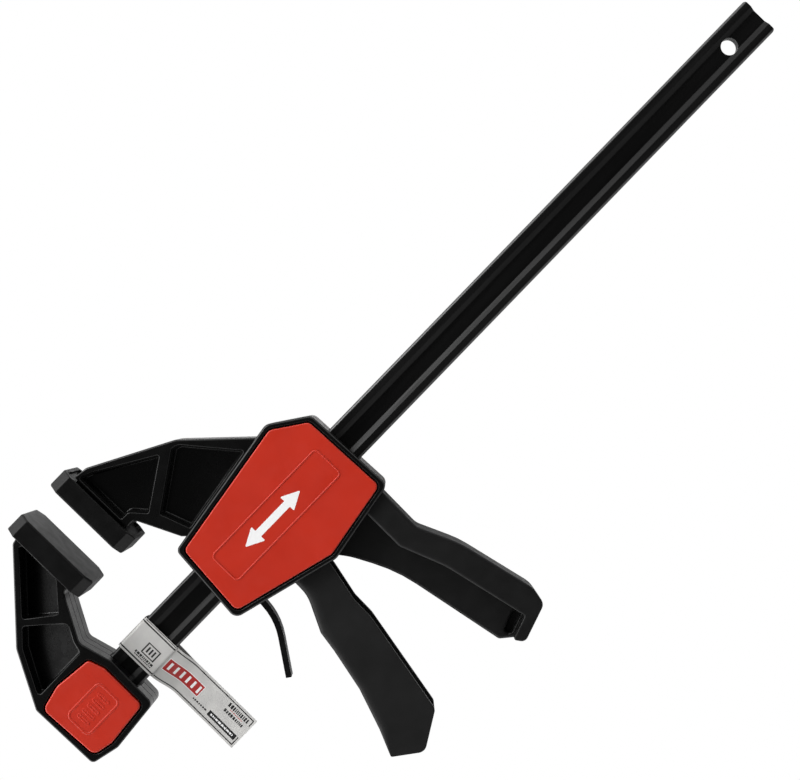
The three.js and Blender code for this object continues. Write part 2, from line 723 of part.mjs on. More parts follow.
// The brake lever about its own pivot, hanging straight down.
function brakeLever() {
  const path = [
    [0, BRAKE_TOP, 0],
    [0, -BRAKE_STRAIGHT, BRAKE_BEND_RADIUS],
    [-BRAKE_TAIL * Math.sin(BRAKE_BEND), -BRAKE_STRAIGHT - BRAKE_TAIL * Math.cos(BRAKE_BEND), 0],
  ];
  const blade = prism(strap(path, BRAKE_THICKNESS), -BRAKE_HALF_WIDTH, BRAKE_HALF_WIDTH);
  const half = BAR_THICKNESS / 2 + GAP;
  const depth = [-BRAKE_THICKNESS, BRAKE_THICKNESS];
  const window = box(depth, [-BRAKE_WINDOW[1], -BRAKE_WINDOW[0]], [-half, half]);
  const shoulders = [-1, 1].map((side) => {
    const outer = BRAKE_HALF_WIDTH + COPLANAR_REACH;
    const span = [side * BRAKE_TAIL_HALF_WIDTH, side * outer].sort((a, b) => a - b);
    return box([-BRAKE_TAIL, BRAKE_THICKNESS], [-BRAKE_STRAIGHT - BRAKE_TAIL, -BRAKE_SHOULDER], span);
  });
  return carve([blade], [window, ...shoulders]);
}

// ---------------------------------------------------------------- tag

function productTag() {
  const inner = BAR_THICKNESS / 2 + GAP;
  const outer = inner + TAG_SHEET;
  const band = box(TAG_BAND, [barBottom - GAP - TAG_SHEET, barTop + GAP + TAG_SHEET], [-outer, outer]);
  const flag = box(TAG_FLAG, [TAG_BOTTOM, barBottom - GAP], [-TAG_SHEET, TAG_SHEET]);
  const passage = barPassage(TAG_BAND[0] - COPLANAR_REACH, TAG_BAND[1] + COPLANAR_REACH);
  return carve([band, flag], [passage]);
}

// ---------------------------------------------------------------- assembly

addPiece('bar', bar(), 'paintedSteel');
addPiece('fixed_jaw', fixedJaw(), 'blackMoulding');
addPiece('fixed_jaw_pad', pad(0, -1), 'softPad');
addPiece('push_button', pushButton(), 'redMoulding');
addPiece('latch_plate', latchPlate(), 'platedSteel');
addPiece('latch_pin', latchPin(), 'platedSteel');
addPiece('jaw_back_cover', jawBackCover(), 'blackMoulding');
addPiece('product_tag', productTag(), 'printedFilm');

for (const [side, place] of [[1, 'upper'], [-1, 'lower']]) {
  const length = BUTTON_BOTTOM - BUTTON_SPRING_FOOT - GAP;
  const spring = coil(BUTTON_SPRING_RADIUS, BUTTON_SPRING_WIRE, length, BUTTON_SPRING_TURNS);
  const springY = BAR_Y + side * BUTTON_SPRING_FROM_BAR;
  const springNode = addPiece(`button_spring_${place}`, spring, 'springSteel');
  springNode.position.set(BUTTON_SPRING_X, springY, BUTTON_SPRING_FOOT);
  const screwY = BAR_Y + side * JAW_SCREW_FROM_BAR;
  const screwSolid = screw(JAW_SCREW_X, screwY, -FIXED_HALF, JAW_SCREW_LENGTH);
  addPiece(`jaw_cover_screw_${place}`, screwSolid, 'platedSteel');
}

addPiece('moving_jaw', movingJaw(), 'blackMoulding');
addPiece('moving_jaw_pad', pad(JAW_OPENING, 1), 'softPad');
addPiece('front_cover', frontCover(), 'redMoulding');
addPiece('back_cover', backCover(), 'redMoulding');
COVER_SCREWS.forEach(([x, y], i) => {
  addPiece(`cover_screw_${i + 1}`, screw(x, y, -COVER_FACE, COVER_SCREW_LENGTH), 'platedSteel');
});

addPiece('trigger', trigger(), 'triggerMoulding');
addPiece('trigger_pivot_pin', pin(PIVOT_X, PIVOT_Y, PIVOT_PIN_RADIUS, -LEDGE, LEDGE), 'platedSteel');
for (let i = 0; i < PLATE_COUNT; i += 1) {
  addPiece(`drive_plate_${i + 1}`, drivePlate(i), 'platedSteel');
}

// The drive spring surrounds the bar between the last plate and the rear wall.
const springStart = PLATE_FRONT + PLATE_COUNT * (PLATE_THICKNESS + GAP);
const driveSpring = addPiece(
  'drive_spring',
  coil(DRIVE_SPRING_RADIUS, DRIVE_SPRING_WIRE, DRIVE_SPRING_END - springStart, DRIVE_SPRING_TURNS),
  'springSteel',
);
driveSpring.position.set(springStart, BAR_Y, 0);
driveSpring.rotation.y = Math.PI / 2;

const brake = addPiece('brake_lever', brakeLever(), 'paintedSteel');
brake.position.set(BRAKE_X, BRAKE_Y, 0);
brake.rotation.z = -BRAKE_TILT;

// The brake spring pushes the lever forward, away from a seat on the housing floor.
const brakeCentre = BRAKE_X + (BRAKE_SPRING_Y - BRAKE_Y) * Math.tan(BRAKE_TILT);
const brakeRear = brakeCentre + BRAKE_THICKNESS / 2 + BRAKE_SPRING_CLEARANCE;
const brakeSpring = addPiece(
  'brake_spring',
  coil(BRAKE_SPRING_RADIUS, BRAKE_SPRING_WIRE, BRAKE_SEAT_X - GAP - brakeRear, BRAKE_SPRING_TURNS),
  'springSteel',
);
brakeSpring.position.set(brakeRear, BRAKE_SPRING_Y, 0);
brakeSpring.rotation.y = Math.PI / 2;

export default clamp;
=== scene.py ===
"""Looks for a one-handed trigger bar clamp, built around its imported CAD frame.

Shapes are drawn in millimetres: +X along the bar, +Y towards the jaw tips, +Z out of the
button's face. Outlines are lists of corners (x, y, radius), counter-clockwise seen from +Z.
"""

import math
import random

import bmesh
import bpy
from mathutils import Matrix, Vector


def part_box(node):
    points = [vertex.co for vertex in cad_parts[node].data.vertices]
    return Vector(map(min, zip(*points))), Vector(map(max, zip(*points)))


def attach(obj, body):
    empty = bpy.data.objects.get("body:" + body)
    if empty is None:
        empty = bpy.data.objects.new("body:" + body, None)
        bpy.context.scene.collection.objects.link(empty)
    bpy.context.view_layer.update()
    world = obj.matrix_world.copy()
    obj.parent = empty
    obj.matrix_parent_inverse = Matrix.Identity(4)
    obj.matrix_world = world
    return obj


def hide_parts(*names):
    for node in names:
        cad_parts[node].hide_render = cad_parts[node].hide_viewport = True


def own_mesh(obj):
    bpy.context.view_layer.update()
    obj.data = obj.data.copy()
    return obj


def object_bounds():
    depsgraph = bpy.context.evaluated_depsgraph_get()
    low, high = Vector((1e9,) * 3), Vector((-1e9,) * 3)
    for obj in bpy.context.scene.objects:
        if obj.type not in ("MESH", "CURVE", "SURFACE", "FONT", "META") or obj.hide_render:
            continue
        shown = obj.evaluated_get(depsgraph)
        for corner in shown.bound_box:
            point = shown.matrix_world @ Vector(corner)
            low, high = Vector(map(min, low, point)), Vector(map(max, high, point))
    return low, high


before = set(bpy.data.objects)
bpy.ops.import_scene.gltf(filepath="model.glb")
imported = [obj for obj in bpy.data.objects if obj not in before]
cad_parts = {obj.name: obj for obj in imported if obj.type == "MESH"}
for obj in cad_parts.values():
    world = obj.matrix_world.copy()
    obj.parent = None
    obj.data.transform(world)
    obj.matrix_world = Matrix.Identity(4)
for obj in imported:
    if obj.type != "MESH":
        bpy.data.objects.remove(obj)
cad_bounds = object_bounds()

# ------ driving dimensions

MM = 0.001
MERGE = 1e-4  # points closer than this are one point
POINT_RADIUS = MERGE / 10  # stands for a radius of zero
STRAIGHT = 0.01  # corners that turn by less, in radians, stay sharp
ARC = math.radians(7)  # longest facet of a rounded corner
RIM_STEPS = 5  # facets of a rounded rim
SMOOTH_ANGLE = math.radians(32)  # sharper edges than this stay crisp
FLAT_ANGLE = math.radians(0.3)  # facets that turn by less become one face
PAST = 1.0  # how far a cutter runs past the face it opens
GAP = 0.3  # between pieces that touch


def node_box(name):
    """Lowest and highest corner of a CAD node, in millimetres."""
    low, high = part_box(name)
    return low / MM, high / MM


bar_low, bar_high = node_box("bar")
BAR_Y = (bar_low.y + bar_high.y) / 2
BAR_HALF = (bar_high.y - bar_low.y) / 2
BAR_FACE = bar_high.z
BAR_WEB = 2.9
GROOVE_FLOOR = 4
GROOVE_MOUTH = 6.8
GROOVE_RADIUS = 0.8
BAR_EDGE_RADIUS = 2
BAR_END_RADIUS = 1.8
BAR_HOLE_RADIUS = 4.7
BAR_HOLE_INSET = 23.3
BAR_HIGHLIGHT_EDGE = 1.4  # width of the edges painted lighter as a painted highlight
BAR_LIT_FACE_DEPTH = 0.1  # how far below the outer faces the lighter paint reaches, painted light that sets the lit outer faces apart from the shaded grooves

PAD_CHAMFER_Z = 4.8
PAD_CHAMFER_Y = 5.2
PAD_CORNER = 1.4
TONGUE_Y = (-17, 18)
TONGUE_HALF = 11
TONGUE_LENGTH = 6

ARM_HALF = 14
FIXED_HALF = 14.2

BUTTON_TRAVEL = 2
LATCH_X = bar_low.x + BAR_HOLE_INSET

HOUSING_HALF = 17
COVER_INSET = 3.5
LEDGE = 14.6
COVER_SCREWS = [(68, -52.5), (126, -47.8), (128, -95)]
COVER_BOSS_RADIUS = 3.4

SCREW_SHANK = 1.5
SCREW_ROOT = 1.15
SCREW_HEAD = [(2.8, 0), (2.9, 0.1), (2.9, 0.3), (SCREW_SHANK, 1.7)]  # radius, height
SCREW_HOLE = [(3.2, -PAST), (3.2, 0.6), (1.8, 2), (1.8, 3.4)]
SCREW_POINT = 1
THREAD_START = 3
THREAD_PITCH = 1.1
THREAD_HALF = 0.25
CROSS_QUARTER = [(1.9, 0.45), (0.45, 0.45), (0.45, 1.9)]
CROSS_SHAPE = [(-0.5, 1), (0, 1), (0.5, 0.8), (1.3, 0.35)]  # depth and share of the width

TRIGGER_HALF = 12
CHANNEL_HALF = 8.2
PIVOT = (84, -52)
PIVOT_BORE = 2.8
DRIVE_TRAVEL = 6.2
BRAKE_SWING = math.radians(9)

FIXED_JAW_OUTLINE = [
    (-11.8, 19.8, 0), (-15.6, 19.3, 4), (-54.9, -21.4, 8), (-71.1, -51.9, 4), (-70.4, -93.4, 3),
    (-54.9, -97.1, 6), (-24.9, -94.4, 4), (-23.9, -62.7, 1), (-28.9, -43.5, 5), (-15.3, -18.6, 2.5),
    (-11.8, -18.6, 0),
]
FIXED_UPPER_POCKET = [(-13.2, 16.4, 1), (-41.1, -12.6, 1.5), (-25.9, -25, 1.5), (-13.2, -11, 4)]
FIXED_LOWER_POCKET = [
    (-43.9, -15.6, 1.5), (-52.2, -24, 4), (-64.6, -47.6, 1.5), (-32.2, -47.6, 2), (-30.6, -41, 4),
    (-25.5, -31.6, 4),
]
BUTTON_OUTLINE = [
    (-53.6, -51, 8), (-67.8, -54.4, 4), (-66.2, -90.6, 4.5), (-55, -93, 8), (-29.6, -90.6, 3),
    (-29.3, -62.6, 8), (-32.4, -53.3, 2.5),
]
HOUSING_OUTLINE = [
    (124.3, -33.7, 6), (42.8, -46.3, 3.5), (38.7, -94.2, 5), (99.2, -110.7, 8), (146.5, -102.9, 4.5),
    (144.7, -47.9, 5),
]
ARM_OUTLINE = [
    (32.7, 19.8, 0), (32.7, -18.6, 0), (38.3, -18.6, 3), (49.8, -43, 0), (55, -48, 0), (112, -44, 0),
    (115, -34.5, 0), (84.6, -4.6, 8), (40.5, 19.2, 4),
]
ARM_UPPER_POCKET = [
    (34, 17.8, 1), (34, -13.6, 1), (39.4, -13.6, 3), (46.4, -21.8, 1), (73, -4.2, 1), (40.5, 15.6, 3),
]
ARM_LOWER_POCKET = [
    (50.4, -26.5, 1), (56.2, -43.2, 1), (106.2, -35.4, 1), (83.6, -7.4, 5), (79.6, -6.6, 1),
]
TRIGGER_OUTLINE = [
    (89.5, -46.5, 5.4), (78.5, -46.5, 5.4), (73.9, -100, 0), (73.5, -113.5, 22), (64, -132.6, 3),
    (58.3, -168.8, 200), (42.7, -205.8, 1.2), (57.4, -217, 5), (77.6, -205, 3.5), (89, -146, 15),
    (89.4, -133, 15), (94.8, -109, 12), (86.4, -91.6, 10), (92.6, -71.3, 2),
]
RIM_LEAN = 0.4  # height of a wide soft rim as a share of its width
TRIGGER_RIMS = [0.5, 0.5, 5.5, 6.4, 5.8, 5, 0.8, 0.9, 0.8, 0.6, 0.6, 0.6, 0.6, 0.6]
TRIGGER_CHANNEL = [
    (100, -57.8, 0), (60, -57.8, 0), (60, -86, 0), (77.6, -86, 0), (77.2, -113, 18), (68, -132, 3),
    (62, -168, 200), (47.6, -203.2, 0), (57.4, -211.4, 2), (66, -207, 2), (100, -200, 0),
]
GRIP_RIB_OUTLINE = [
    (127.4, -100, 0), (127, -130.5, 6), (136.5, -155.5, 40), (147.2, -204.4, 1.5), (133.6, -209, 1),
    (137.2, -214.3, 3.5), (158.8, -207.4, 5), (161, -197.5, 14), (151, -152.5, 60), (141, -129.5, 10),
    (141.8, -100, 0),
]
GRIP_RIB_RIMS = [2.2, 2.4, 2.4, 1.2, 0.8, 1.2, 1.6, 1.9, 2.1, 2, 1.6]
GRIP_WEB_OUTLINE = [
    (130, -103, 0), (112, -104.5, 0), (99.4, -110, 1), (103.8, -116, 40), (115.6, -139, 90),
    (127.8, -204.6, 3), (136, -211.5, 0), (150, -207, 0), (140, -160, 0),
]

# ------ solids


def for_each(value, corners):
    """One number for every corner, from one number or a list."""
    return list(value) if isinstance(value, (list, tuple)) else [value] * len(corners)


def corner_turn(corners, i):
    """Directions into and out of corner i, and the angle between them."""
    corner = Vector(corners[i][:2])
    before = (corner - Vector(corners[i - 1][:2])).normalized()
    after = (Vector(corners[(i + 1) % len(corners)][:2]) - corner).normalized()
    return before, after, math.atan2(before.cross(after), before.dot(after))


def moved(corner, before, after, inset):
    """A corner moved inwards by inset from both its edges."""
    reach = inset / (1 + before.dot(after))
    return Vector(corner[:2]) + Vector((-before.y - after.y, before.x + after.x)) * reach


def shifted(corners, inset):
    """The outline moved inwards by inset, or outwards when it is negative."""
    result = []
    for i, corner in enumerate(corners):
        before, after, turn = corner_turn(corners, i)
        place = moved(corner, before, after, inset)
        radius = max(corner[2] - math.copysign(inset, inset * turn), 0) if corner[2] else 0
        result.append((place.x, place.y, radius))
    return result


def ring(corners, inset, height):
    """Points of an outline with rounded corners, moved inwards by inset.

    inset is one number or one for each corner. height is that too, or a function of x and y.
    """
    insets = for_each(inset, corners)
    heights = None if callable(height) else for_each(height, corners)
    points = []
    for i, corner in enumerate(corners):
        before, after, turn = corner_turn(corners, i)
        place = moved(corner, before, after, insets[i])
        side = math.copysign(1, turn)
        rounded = corner[2] > 0 and abs(turn) > STRAIGHT
        steps = max(2, math.ceil(abs(turn) / ARC)) if rounded else 0
        radius = max(corner[2] - side * insets[i], 0) if rounded else 0
        start = place - before * radius * math.tan(abs(turn) / 2)
        centre = start + Vector((-before.y, before.x)) * side * radius
        for k in range(steps + 1):
            angle = turn * k / steps if steps else 0
            spoke = Matrix.Rotation(angle, 2) @ (start - centre)
            x, y = centre + spoke
            points.append((x, y, height(x, y) if heights is None else heights[i]))
    return points


def banded(rings, around=False):
    """A mesh with a band of faces from each ring of points to the next, and its rows of points."""
    made = bmesh.new()
    rows = [[made.verts.new(point) for point in points] for points in rings]
    for lower, upper in zip(rows, rows[1:] + rows[:1] if around else rows[1:]):
        for i, corner in enumerate(lower):
            following = (i + 1) % len(lower)
            made.faces.new((corner, lower[following], upper[following], upper[i]))
    return made, rows


def loft(rings):
    """A closed mesh through rings of equally many points, lowest first."""
    made, rows = banded(rings)
    made.faces.new(rows[0][::-1])
    made.faces.new(rows[-1])
    return cleaned(made)


def cleaned(made):
    """The mesh with doubled points merged and its faces turned outwards."""
    bmesh.ops.remove_doubles(made, verts=made.verts, dist=MERGE)
    bmesh.ops.dissolve_degenerate(made, edges=made.edges, dist=MERGE)
    return outwards(made)


def outwards(made):
    """The mesh with its faces turned outwards."""
    made.normal_update()
    if made.calc_volume(signed=True) < 0:
        bmesh.ops.reverse_faces(made, faces=made.faces)
    return made


def mapped(made, change):
    """The mesh with each point (x, y, z) moved to change(x, y, z)."""
    for vertex in made.verts:
        vertex.co = change(*vertex.co)
    return outwards(made)


def mirrored(made):
    """The mesh with its front and back exchanged."""
    return mapped(made, lambda x, y, z: (x, y, -z))


def on_both_faces(cutters):
    """The cutters given for the front, then the same ones for the back."""
    return cutters + [mirrored(cutter.copy()) for cutter in cutters]


def along_x(made):
    """A mesh drawn on a (y, z) outline and standing along X."""
    return mapped(made, lambda a, b, c: (c, a, b))


def rim_angles():
    """Angles along a rounded rim, a quarter turn."""
    return [math.pi / 2 * k / RIM_STEPS for k in range(RIM_STEPS + 1)]


def round_angles(sides):
    """Angles round a whole turn."""
    return [2 * math.pi * k / sides for k in range(sides)]


def doubled(half):
    """An outline from its first half, repeated with half a turn."""
    return half + [(-x, -y, radius) for x, y, radius in half]


def rectangle(x_span, y_span, radius):
    """A rectangular outline with equal corners."""
    (x0, x1), (y0, y1) = x_span, y_span
    return [(x0, y0, radius), (x1, y0, radius), (x1, y1, radius), (x0, y1, radius)]


def about(middle, half, margin=0.0):
    """A span to both sides of a place, with a margin at both ends."""
    return middle - half - margin, middle + half + margin


def moulding(corners, low, high, top, bottom=None, bands=(), lean=1.0):
    """A solid on an outline, with rounded rims of radius top and bottom.

    bands are (inset, height) steps between the rims, from the lowest. lean is each rim's height
    as a share of its width.
    """
    top = for_each(top, corners)
    bottom = top if bottom is None else for_each(bottom, corners)
    rings = []
    for angle in rim_angles():
        insets = [radius * (1 - math.sin(angle)) for radius in bottom]
        heights = [low + radius * lean * (1 - math.cos(angle)) for radius in bottom]
        rings.append(ring(corners, insets, heights))
    rings += [ring(corners, inset, height) for inset, height in bands]
    for angle in rim_angles():
        insets = [radius * (1 - math.cos(angle)) for radius in top]
        heights = [high - radius * lean * (1 - math.sin(angle)) for radius in top]
        rings.append(ring(corners, insets, heights))
    return loft(rings)


def pocket(corners, floor, mouth, edge, fillet, draft=0.2, ledge=None):
    """A cutter for a pocket with a rounded floor corner and a rounded mouth at z = mouth.

    floor is a height or a function of x and y. ledge is (width, depth below the mouth).
    """
    floor_at = floor if callable(floor) else lambda x, y: floor
    edges = for_each(edge, corners)
    width, depth = ledge or (0, 0)
    rings = []
    for angle in rim_angles():
        rise = fillet * (1 - math.cos(angle))
        inset = width + draft + fillet * (1 - math.sin(angle))
        rings.append(ring(corners, inset, lambda x, y, rise=rise: floor_at(x, y) + rise))
    if ledge:
        rings += [ring(corners, inset, mouth - depth) for inset in (width, 0)]
    for angle in rim_angles():
        insets = [-radius * (1 - math.cos(angle)) for radius in edges]
        heights = [mouth - radius * (1 - math.sin(angle)) for radius in edges]
        rings.append(ring(corners, insets, heights))
    last = math.pi / 2 / RIM_STEPS
    run, rise = math.sin(last), 1 - math.cos(last)
    spread = [-radius * (1 + run) for radius in edges]
    rings.append(ring(corners, spread, [mouth + radius * rise + MERGE for radius in edges]))
    rings.append(ring(corners, spread, mouth + PAST))
    return loft(rings)


def prism(corners, low, high):
    """A straight solid on an outline, with sharp rims."""
    return loft([ring(corners, 0, low), ring(corners, 0, high)])


def block(x_span, y_span, z_span):
    """A box between two places along each axis."""
    return prism(rectangle(x_span, y_span, 0), *z_span)


def lathe(x, y, profile):
    """A round solid on a vertical axis; profile is (radius, height) from the lowest."""
    rings = []
    for radius, height in profile:
        reach = max(radius, POINT_RADIUS)
        angles = round_angles(sides=48)
        rings.append([(x + reach * math.cos(a), y + reach * math.sin(a), height) for a in angles])
    return loft(rings)


def pin(x, y, radius, low, high):
    """A straight round solid on a vertical axis."""
    return lathe(x, y, [(radius, low), (radius, high)])


def ridge(corners, base, width, height):
    """A raised rounded line on an outline, half sunk into a face at z = base."""
    section = [(math.cos(a) * width / 2, math.sin(a) * height) for a in round_angles(sides=12)]
    rings = [ring(corners, inset, base + rise) for inset, rise in section]
    return cleaned(banded(rings, around=True)[0])


def tube(points, radius):
    """A round wire along a list of points, closed at both ends."""
    normal = (points[1] - points[0]).orthogonal().normalized()
    rings = []
    for i, point in enumerate(points):
        tangent = (points[min(i + 1, len(points) - 1)] - points[max(i - 1, 0)]).normalized()
        normal = (normal - tangent * normal.dot(tangent)).normalized()
        across = tangent.cross(normal)
        angles = round_angles(sides=10)
        rings.append([point + (normal * math.cos(a) + across * math.sin(a)) * radius for a in angles])
    return loft(rings)


# ------ objects


def new_object(name, made):
    """A Blender object from a mesh drawn in millimetres."""
    mesh = bpy.data.meshes.new(name)
    made.to_mesh(mesh)
    made.free()
    mesh.transform(Matrix.Scale(MM, 4))
    piece = bpy.data.objects.new(name, mesh)
    bpy.context.scene.collection.objects.link(piece)
    return piece


def baked(piece):
    """Turns an object's modifiers into plain mesh."""
    bpy.context.view_layer.update()
    graph = bpy.context.evaluated_depsgraph_get()
    result = bpy.data.meshes.new_from_object(piece.evaluated_get(graph))
    piece.modifiers.clear()
    piece.data = result
    return piece


def carve(name, added, cut):
    """One object from the added meshes, joined, less the cut ones."""
    base = new_object(name, added[0])
    helpers = []
    for operation, solids in (("UNION", added[1:]), ("DIFFERENCE", cut)):
        for solid in solids:
            helper = new_object("helper", solid)
            helpers.append(helper)
            step = base.modifiers.new("carve", "BOOLEAN")
            step.operation = operation
            step.solver = "MANIFOLD"
            step.object = helper
    baked(base)
    for helper in helpers:
        bpy.data.objects.remove(helper)
    return base


def redrawn(piece):
    """An object's mesh, in millimetres again; the object is removed."""
    made = bmesh.new()
    made.from_mesh(piece.data)
    bmesh.ops.scale(made, vec=(1 / MM,) * 3, verts=made.verts)
    bpy.data.objects.remove(piece)
    return made


def smoothed(piece):
    """Joins flat facets, then shades curved faces smooth and keeps flat faces flat."""
    made = bmesh.new()
    made.from_mesh(piece.data)
    bmesh.ops.remove_doubles(made, verts=made.verts, dist=MERGE * MM)
    bmesh.ops.dissolve_limit(
        made, angle_limit=FLAT_ANGLE, verts=made.verts, edges=made.edges, delimit={"MATERIAL"}
    )
    made.to_mesh(piece.data)
    made.free()
    piece.data.shade_smooth()
    piece.data.set_sharp_from_angle(angle=SMOOTH_ANGLE)
    weighted = piece.modifiers.new("flat_faces", "WEIGHTED_NORMAL")
    weighted.keep_sharp = True
    weighted.weight = 100
    return piece


def shaped(name, added, cut=()):
    """A carved and smoothed object."""
    return smoothed(carve(name, added, cut))


def painted(piece, slots, choose):
    """Gives a piece several materials; choose returns the number of each face's own."""
    piece.data.materials.clear()
    for slot in slots:
        piece.data.materials.append(looks[slot])
    for patch in piece.data.polygons:
        patch.material_index = choose(patch)
    return piece


def dress(piece, slot, body, *nodes):
    """Gives a finished piece its material, picked by slot, and its body, and hides the nodes it stands
    for.
    """
    if not any(piece.data.materials):
        piece.data.materials.clear()
        piece.data.materials.append(looks[slot])
    if nodes:
        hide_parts(*nodes)
    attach(piece, body)
    return piece


# ------ materials


def new_material(name, color, roughness, **settings):
    """A Principled material; settings name further sockets, such as Metallic."""
    material = bpy.data.materials.new(name)
    material.use_nodes = True
    shader = material.node_tree.nodes["Principled BSDF"]
    shader.inputs["Base Color"].default_value = (*color, 1)
    shader.inputs["Roughness"].default_value = roughness
    for socket, value in settings.items():
        shader.inputs[socket.replace("_", " ")].default_value = value
    return material


EVEN = (1, 1, 1)
ALONG_BAR = (0.06, 1, 1)  # draws a pattern out along the bar
NOISE_MIDDLE = (0.3, 0.7)  # where most of a noise lies


def feed(material, socket, output):
    """Links a value into a socket of the Principled shader."""
    shader = material.node_tree.nodes["Principled BSDF"]
    material.node_tree.links.new(output, shader.inputs[socket])


def noise(material, scale, detail=2.0, stretch=EVEN):
    """Noise in the object's own coordinates, with scale in cells for each metre."""
    nodes, links = material.node_tree.nodes, material.node_tree.links
    coordinates = nodes.new("ShaderNodeTexCoord")
    mapping = nodes.new("ShaderNodeMapping")
    mapping.inputs["Scale"].default_value = stretch
    texture = nodes.new("ShaderNodeTexNoise")
    texture.inputs["Scale"].default_value = scale
    texture.inputs["Detail"].default_value = detail
    links.new(coordinates.outputs["Object"], mapping.inputs["Vector"])
    links.new(mapping.outputs["Vector"], texture.inputs["Vector"])
    return texture.outputs["Fac"]


def map_range(tree, value, source, target, interpolation="LINEAR"):
    """Maps a number from one range to another."""
    ramp = tree.nodes.new("ShaderNodeMapRange")
    ramp.interpolation_type = interpolation
    ramp.inputs["From Min"].default_value, ramp.inputs["From Max"].default_value = source
    ramp.inputs["To Min"].default_value, ramp.inputs["To Max"].default_value = target
    tree.links.new(value, ramp.inputs["Value"])
    return ramp.outputs["Result"]


def tint(material, factor, dark, light):
    """Lets the base colour wander between two colours."""
    nodes, links = material.node_tree.nodes, material.node_tree.links
    factor = map_range(material.node_tree, factor, NOISE_MIDDLE, (0, 1))
    mix = nodes.new("ShaderNodeMix")
    mix.data_type = "RGBA"
    mix.inputs["A"].default_value = (*colour(dark), 1)
    mix.inputs["B"].default_value = (*colour(light), 1)
    links.new(factor, mix.inputs["Factor"])
    feed(material, "Base Color", mix.outputs["Result"])


def vary_gloss(material, factor, roughness, swing):
    """Lets the roughness wander by swing to either side."""
    rough = map_range(material.node_tree, factor, NOISE_MIDDLE, (roughness - swing, roughness + swing))
    feed(material, "Roughness", rough)


def grain(material, layers):
    """Bump from layers of (noise output, height in metres), added up."""
    nodes, links = material.node_tree.nodes, material.node_tree.links
    previous = None
    for factor, height in layers:
        bump = nodes.new("ShaderNodeBump")
        bump.inputs["Distance"].default_value = height
        links.new(factor, bump.inputs["Height"])
        if previous:
            links.new(previous, bump.inputs["Normal"])
        previous = bump.outputs["Normal"]
    feed(material, "Normal", previous)


def shade(value):
    """Linear value of an 8-bit sRGB grey."""
    level = value / 255
    return level / 12.92 if level <= 0.04045 else ((level + 0.055) / 1.055) ** 2.4


def colour(value):
    """Linear colour of an 8-bit sRGB grey, or of sRGB red, green and blue."""
    return tuple(shade(part) for part in (value if isinstance(value, tuple) else (value,) * 3))


def moulded_plastic(name, dark, light, roughness, grain_height, specular):
    """Injection-moulded plastic: fine spark-eroded grain with slow flow marks."""
    material = new_material(name, colour(light), roughness, Specular_IOR_Level=specular)
    tint(material, noise(material, scale=45, detail=3), dark, light)
    vary_gloss(material, noise(material, scale=160), roughness, swing=0.04)
    fine = (noise(material, scale=2600), grain_height)
    grain(material, [fine, (noise(material, scale=220), grain_height * 2)])
    return material


def coated_steel(name, dark, light, roughness, stretch, specular, metallic):
    """Steel under a thin coat: faint drawing lines and slow patches of gloss."""
    material = new_material(name, colour(light), roughness, Specular_IOR_Level=specular, Metallic=metallic)
    tint(material, noise(material, 120, 3, stretch), dark, light)
    vary_gloss(material, noise(material, 400, 2, stretch), roughness, swing=0.06)
    grain(material, [(noise(material, 1800, 2, stretch), 6e-6)])
    return material


PLASTICS = {  # dark, light, roughness, grain height in metres, specular level
    "black_nylon": (3, 7, 0.27, 3e-6, 0.36),
    "trigger_nylon": (28, 33, 0.42, 4e-6, 0.18),
    # a real textured grip finish, its colour painted lighter than the black nylon as painted light on the
    # lit grip
    "grip_texture_lit": (14, 20, 0.46, 8e-6, 0.3),
    "red_nylon": ((187, 40, 19), (195, 44, 23), 0.42, 3e-6, 0.5),
    "soft_pad": (4, 9, 0.43, 8e-6, 0.2),
    "ink_black": ((24, 24, 25), (34, 34, 35), 0.45, 1e-6, 0.5),
    "ink_red": ((170, 44, 44), (184, 54, 52), 0.45, 1e-6, 0.5),
    "ink_white": (246, 252, 0.4, 1e-6, 0.5),
}
STEELS = {  # dark, light, roughness, stretch, specular level, metallic
    "bar_paint": (7, 14, 0.36, ALONG_BAR, 0.14, 0),
    # painted light: a lighter copy of the bar's paint for its outer faces, which stand lit beside the
    # shaded grooves
    "lit_outer_paint": (12, 21, 0.4, ALONG_BAR, 0.14, 0),
    # painted highlight: a lighter, glossier copy of the bar's paint along its edges
    "highlight_edge_paint": (44, 66, 0.3, ALONG_BAR, 0.5, 0),
    "lever_steel": (6, 11, 0.34, EVEN, 0.35, 0),
    "plated_steel": ((150, 150, 154), (178, 178, 180), 0.32, EVEN, 0.5, 1),
    "spring_steel": ((130, 130, 134), (160, 160, 164), 0.28, EVEN, 0.5, 1),
    "tag_film": ((198, 197, 195), (212, 211, 208), 0.42, EVEN, 0.5, 0),
}
looks = {name: moulded_plastic(name, *look) for name, look in PLASTICS.items()}
looks |= {name: coated_steel(name, *look) for name, look in STEELS.items()}

# ------ bar and pads


def passage(low, high):
    """Cutter that clears the bar between two places along it."""
    return block((low, high), about(BAR_Y, BAR_HALF, GAP), about(0, BAR_FACE, GAP))


def end_corner(side):
    """Cutter that rounds one corner of the bar's free end."""
    end, edge, radius = bar_high.x, BAR_HALF, BAR_END_RADIUS
    corners = [
        (end - radius, edge + PAST, 0), (end - radius, edge, 0), (end, edge, radius),
        (end, edge - radius, 0), (end + PAST, edge - radius, 0), (end + PAST, edge + PAST, 0),
    ]
    placed = [(x, BAR_Y + side * y, rounding) for x, y, rounding in corners]
    return prism(placed, *about(0, BAR_FACE, PAST))


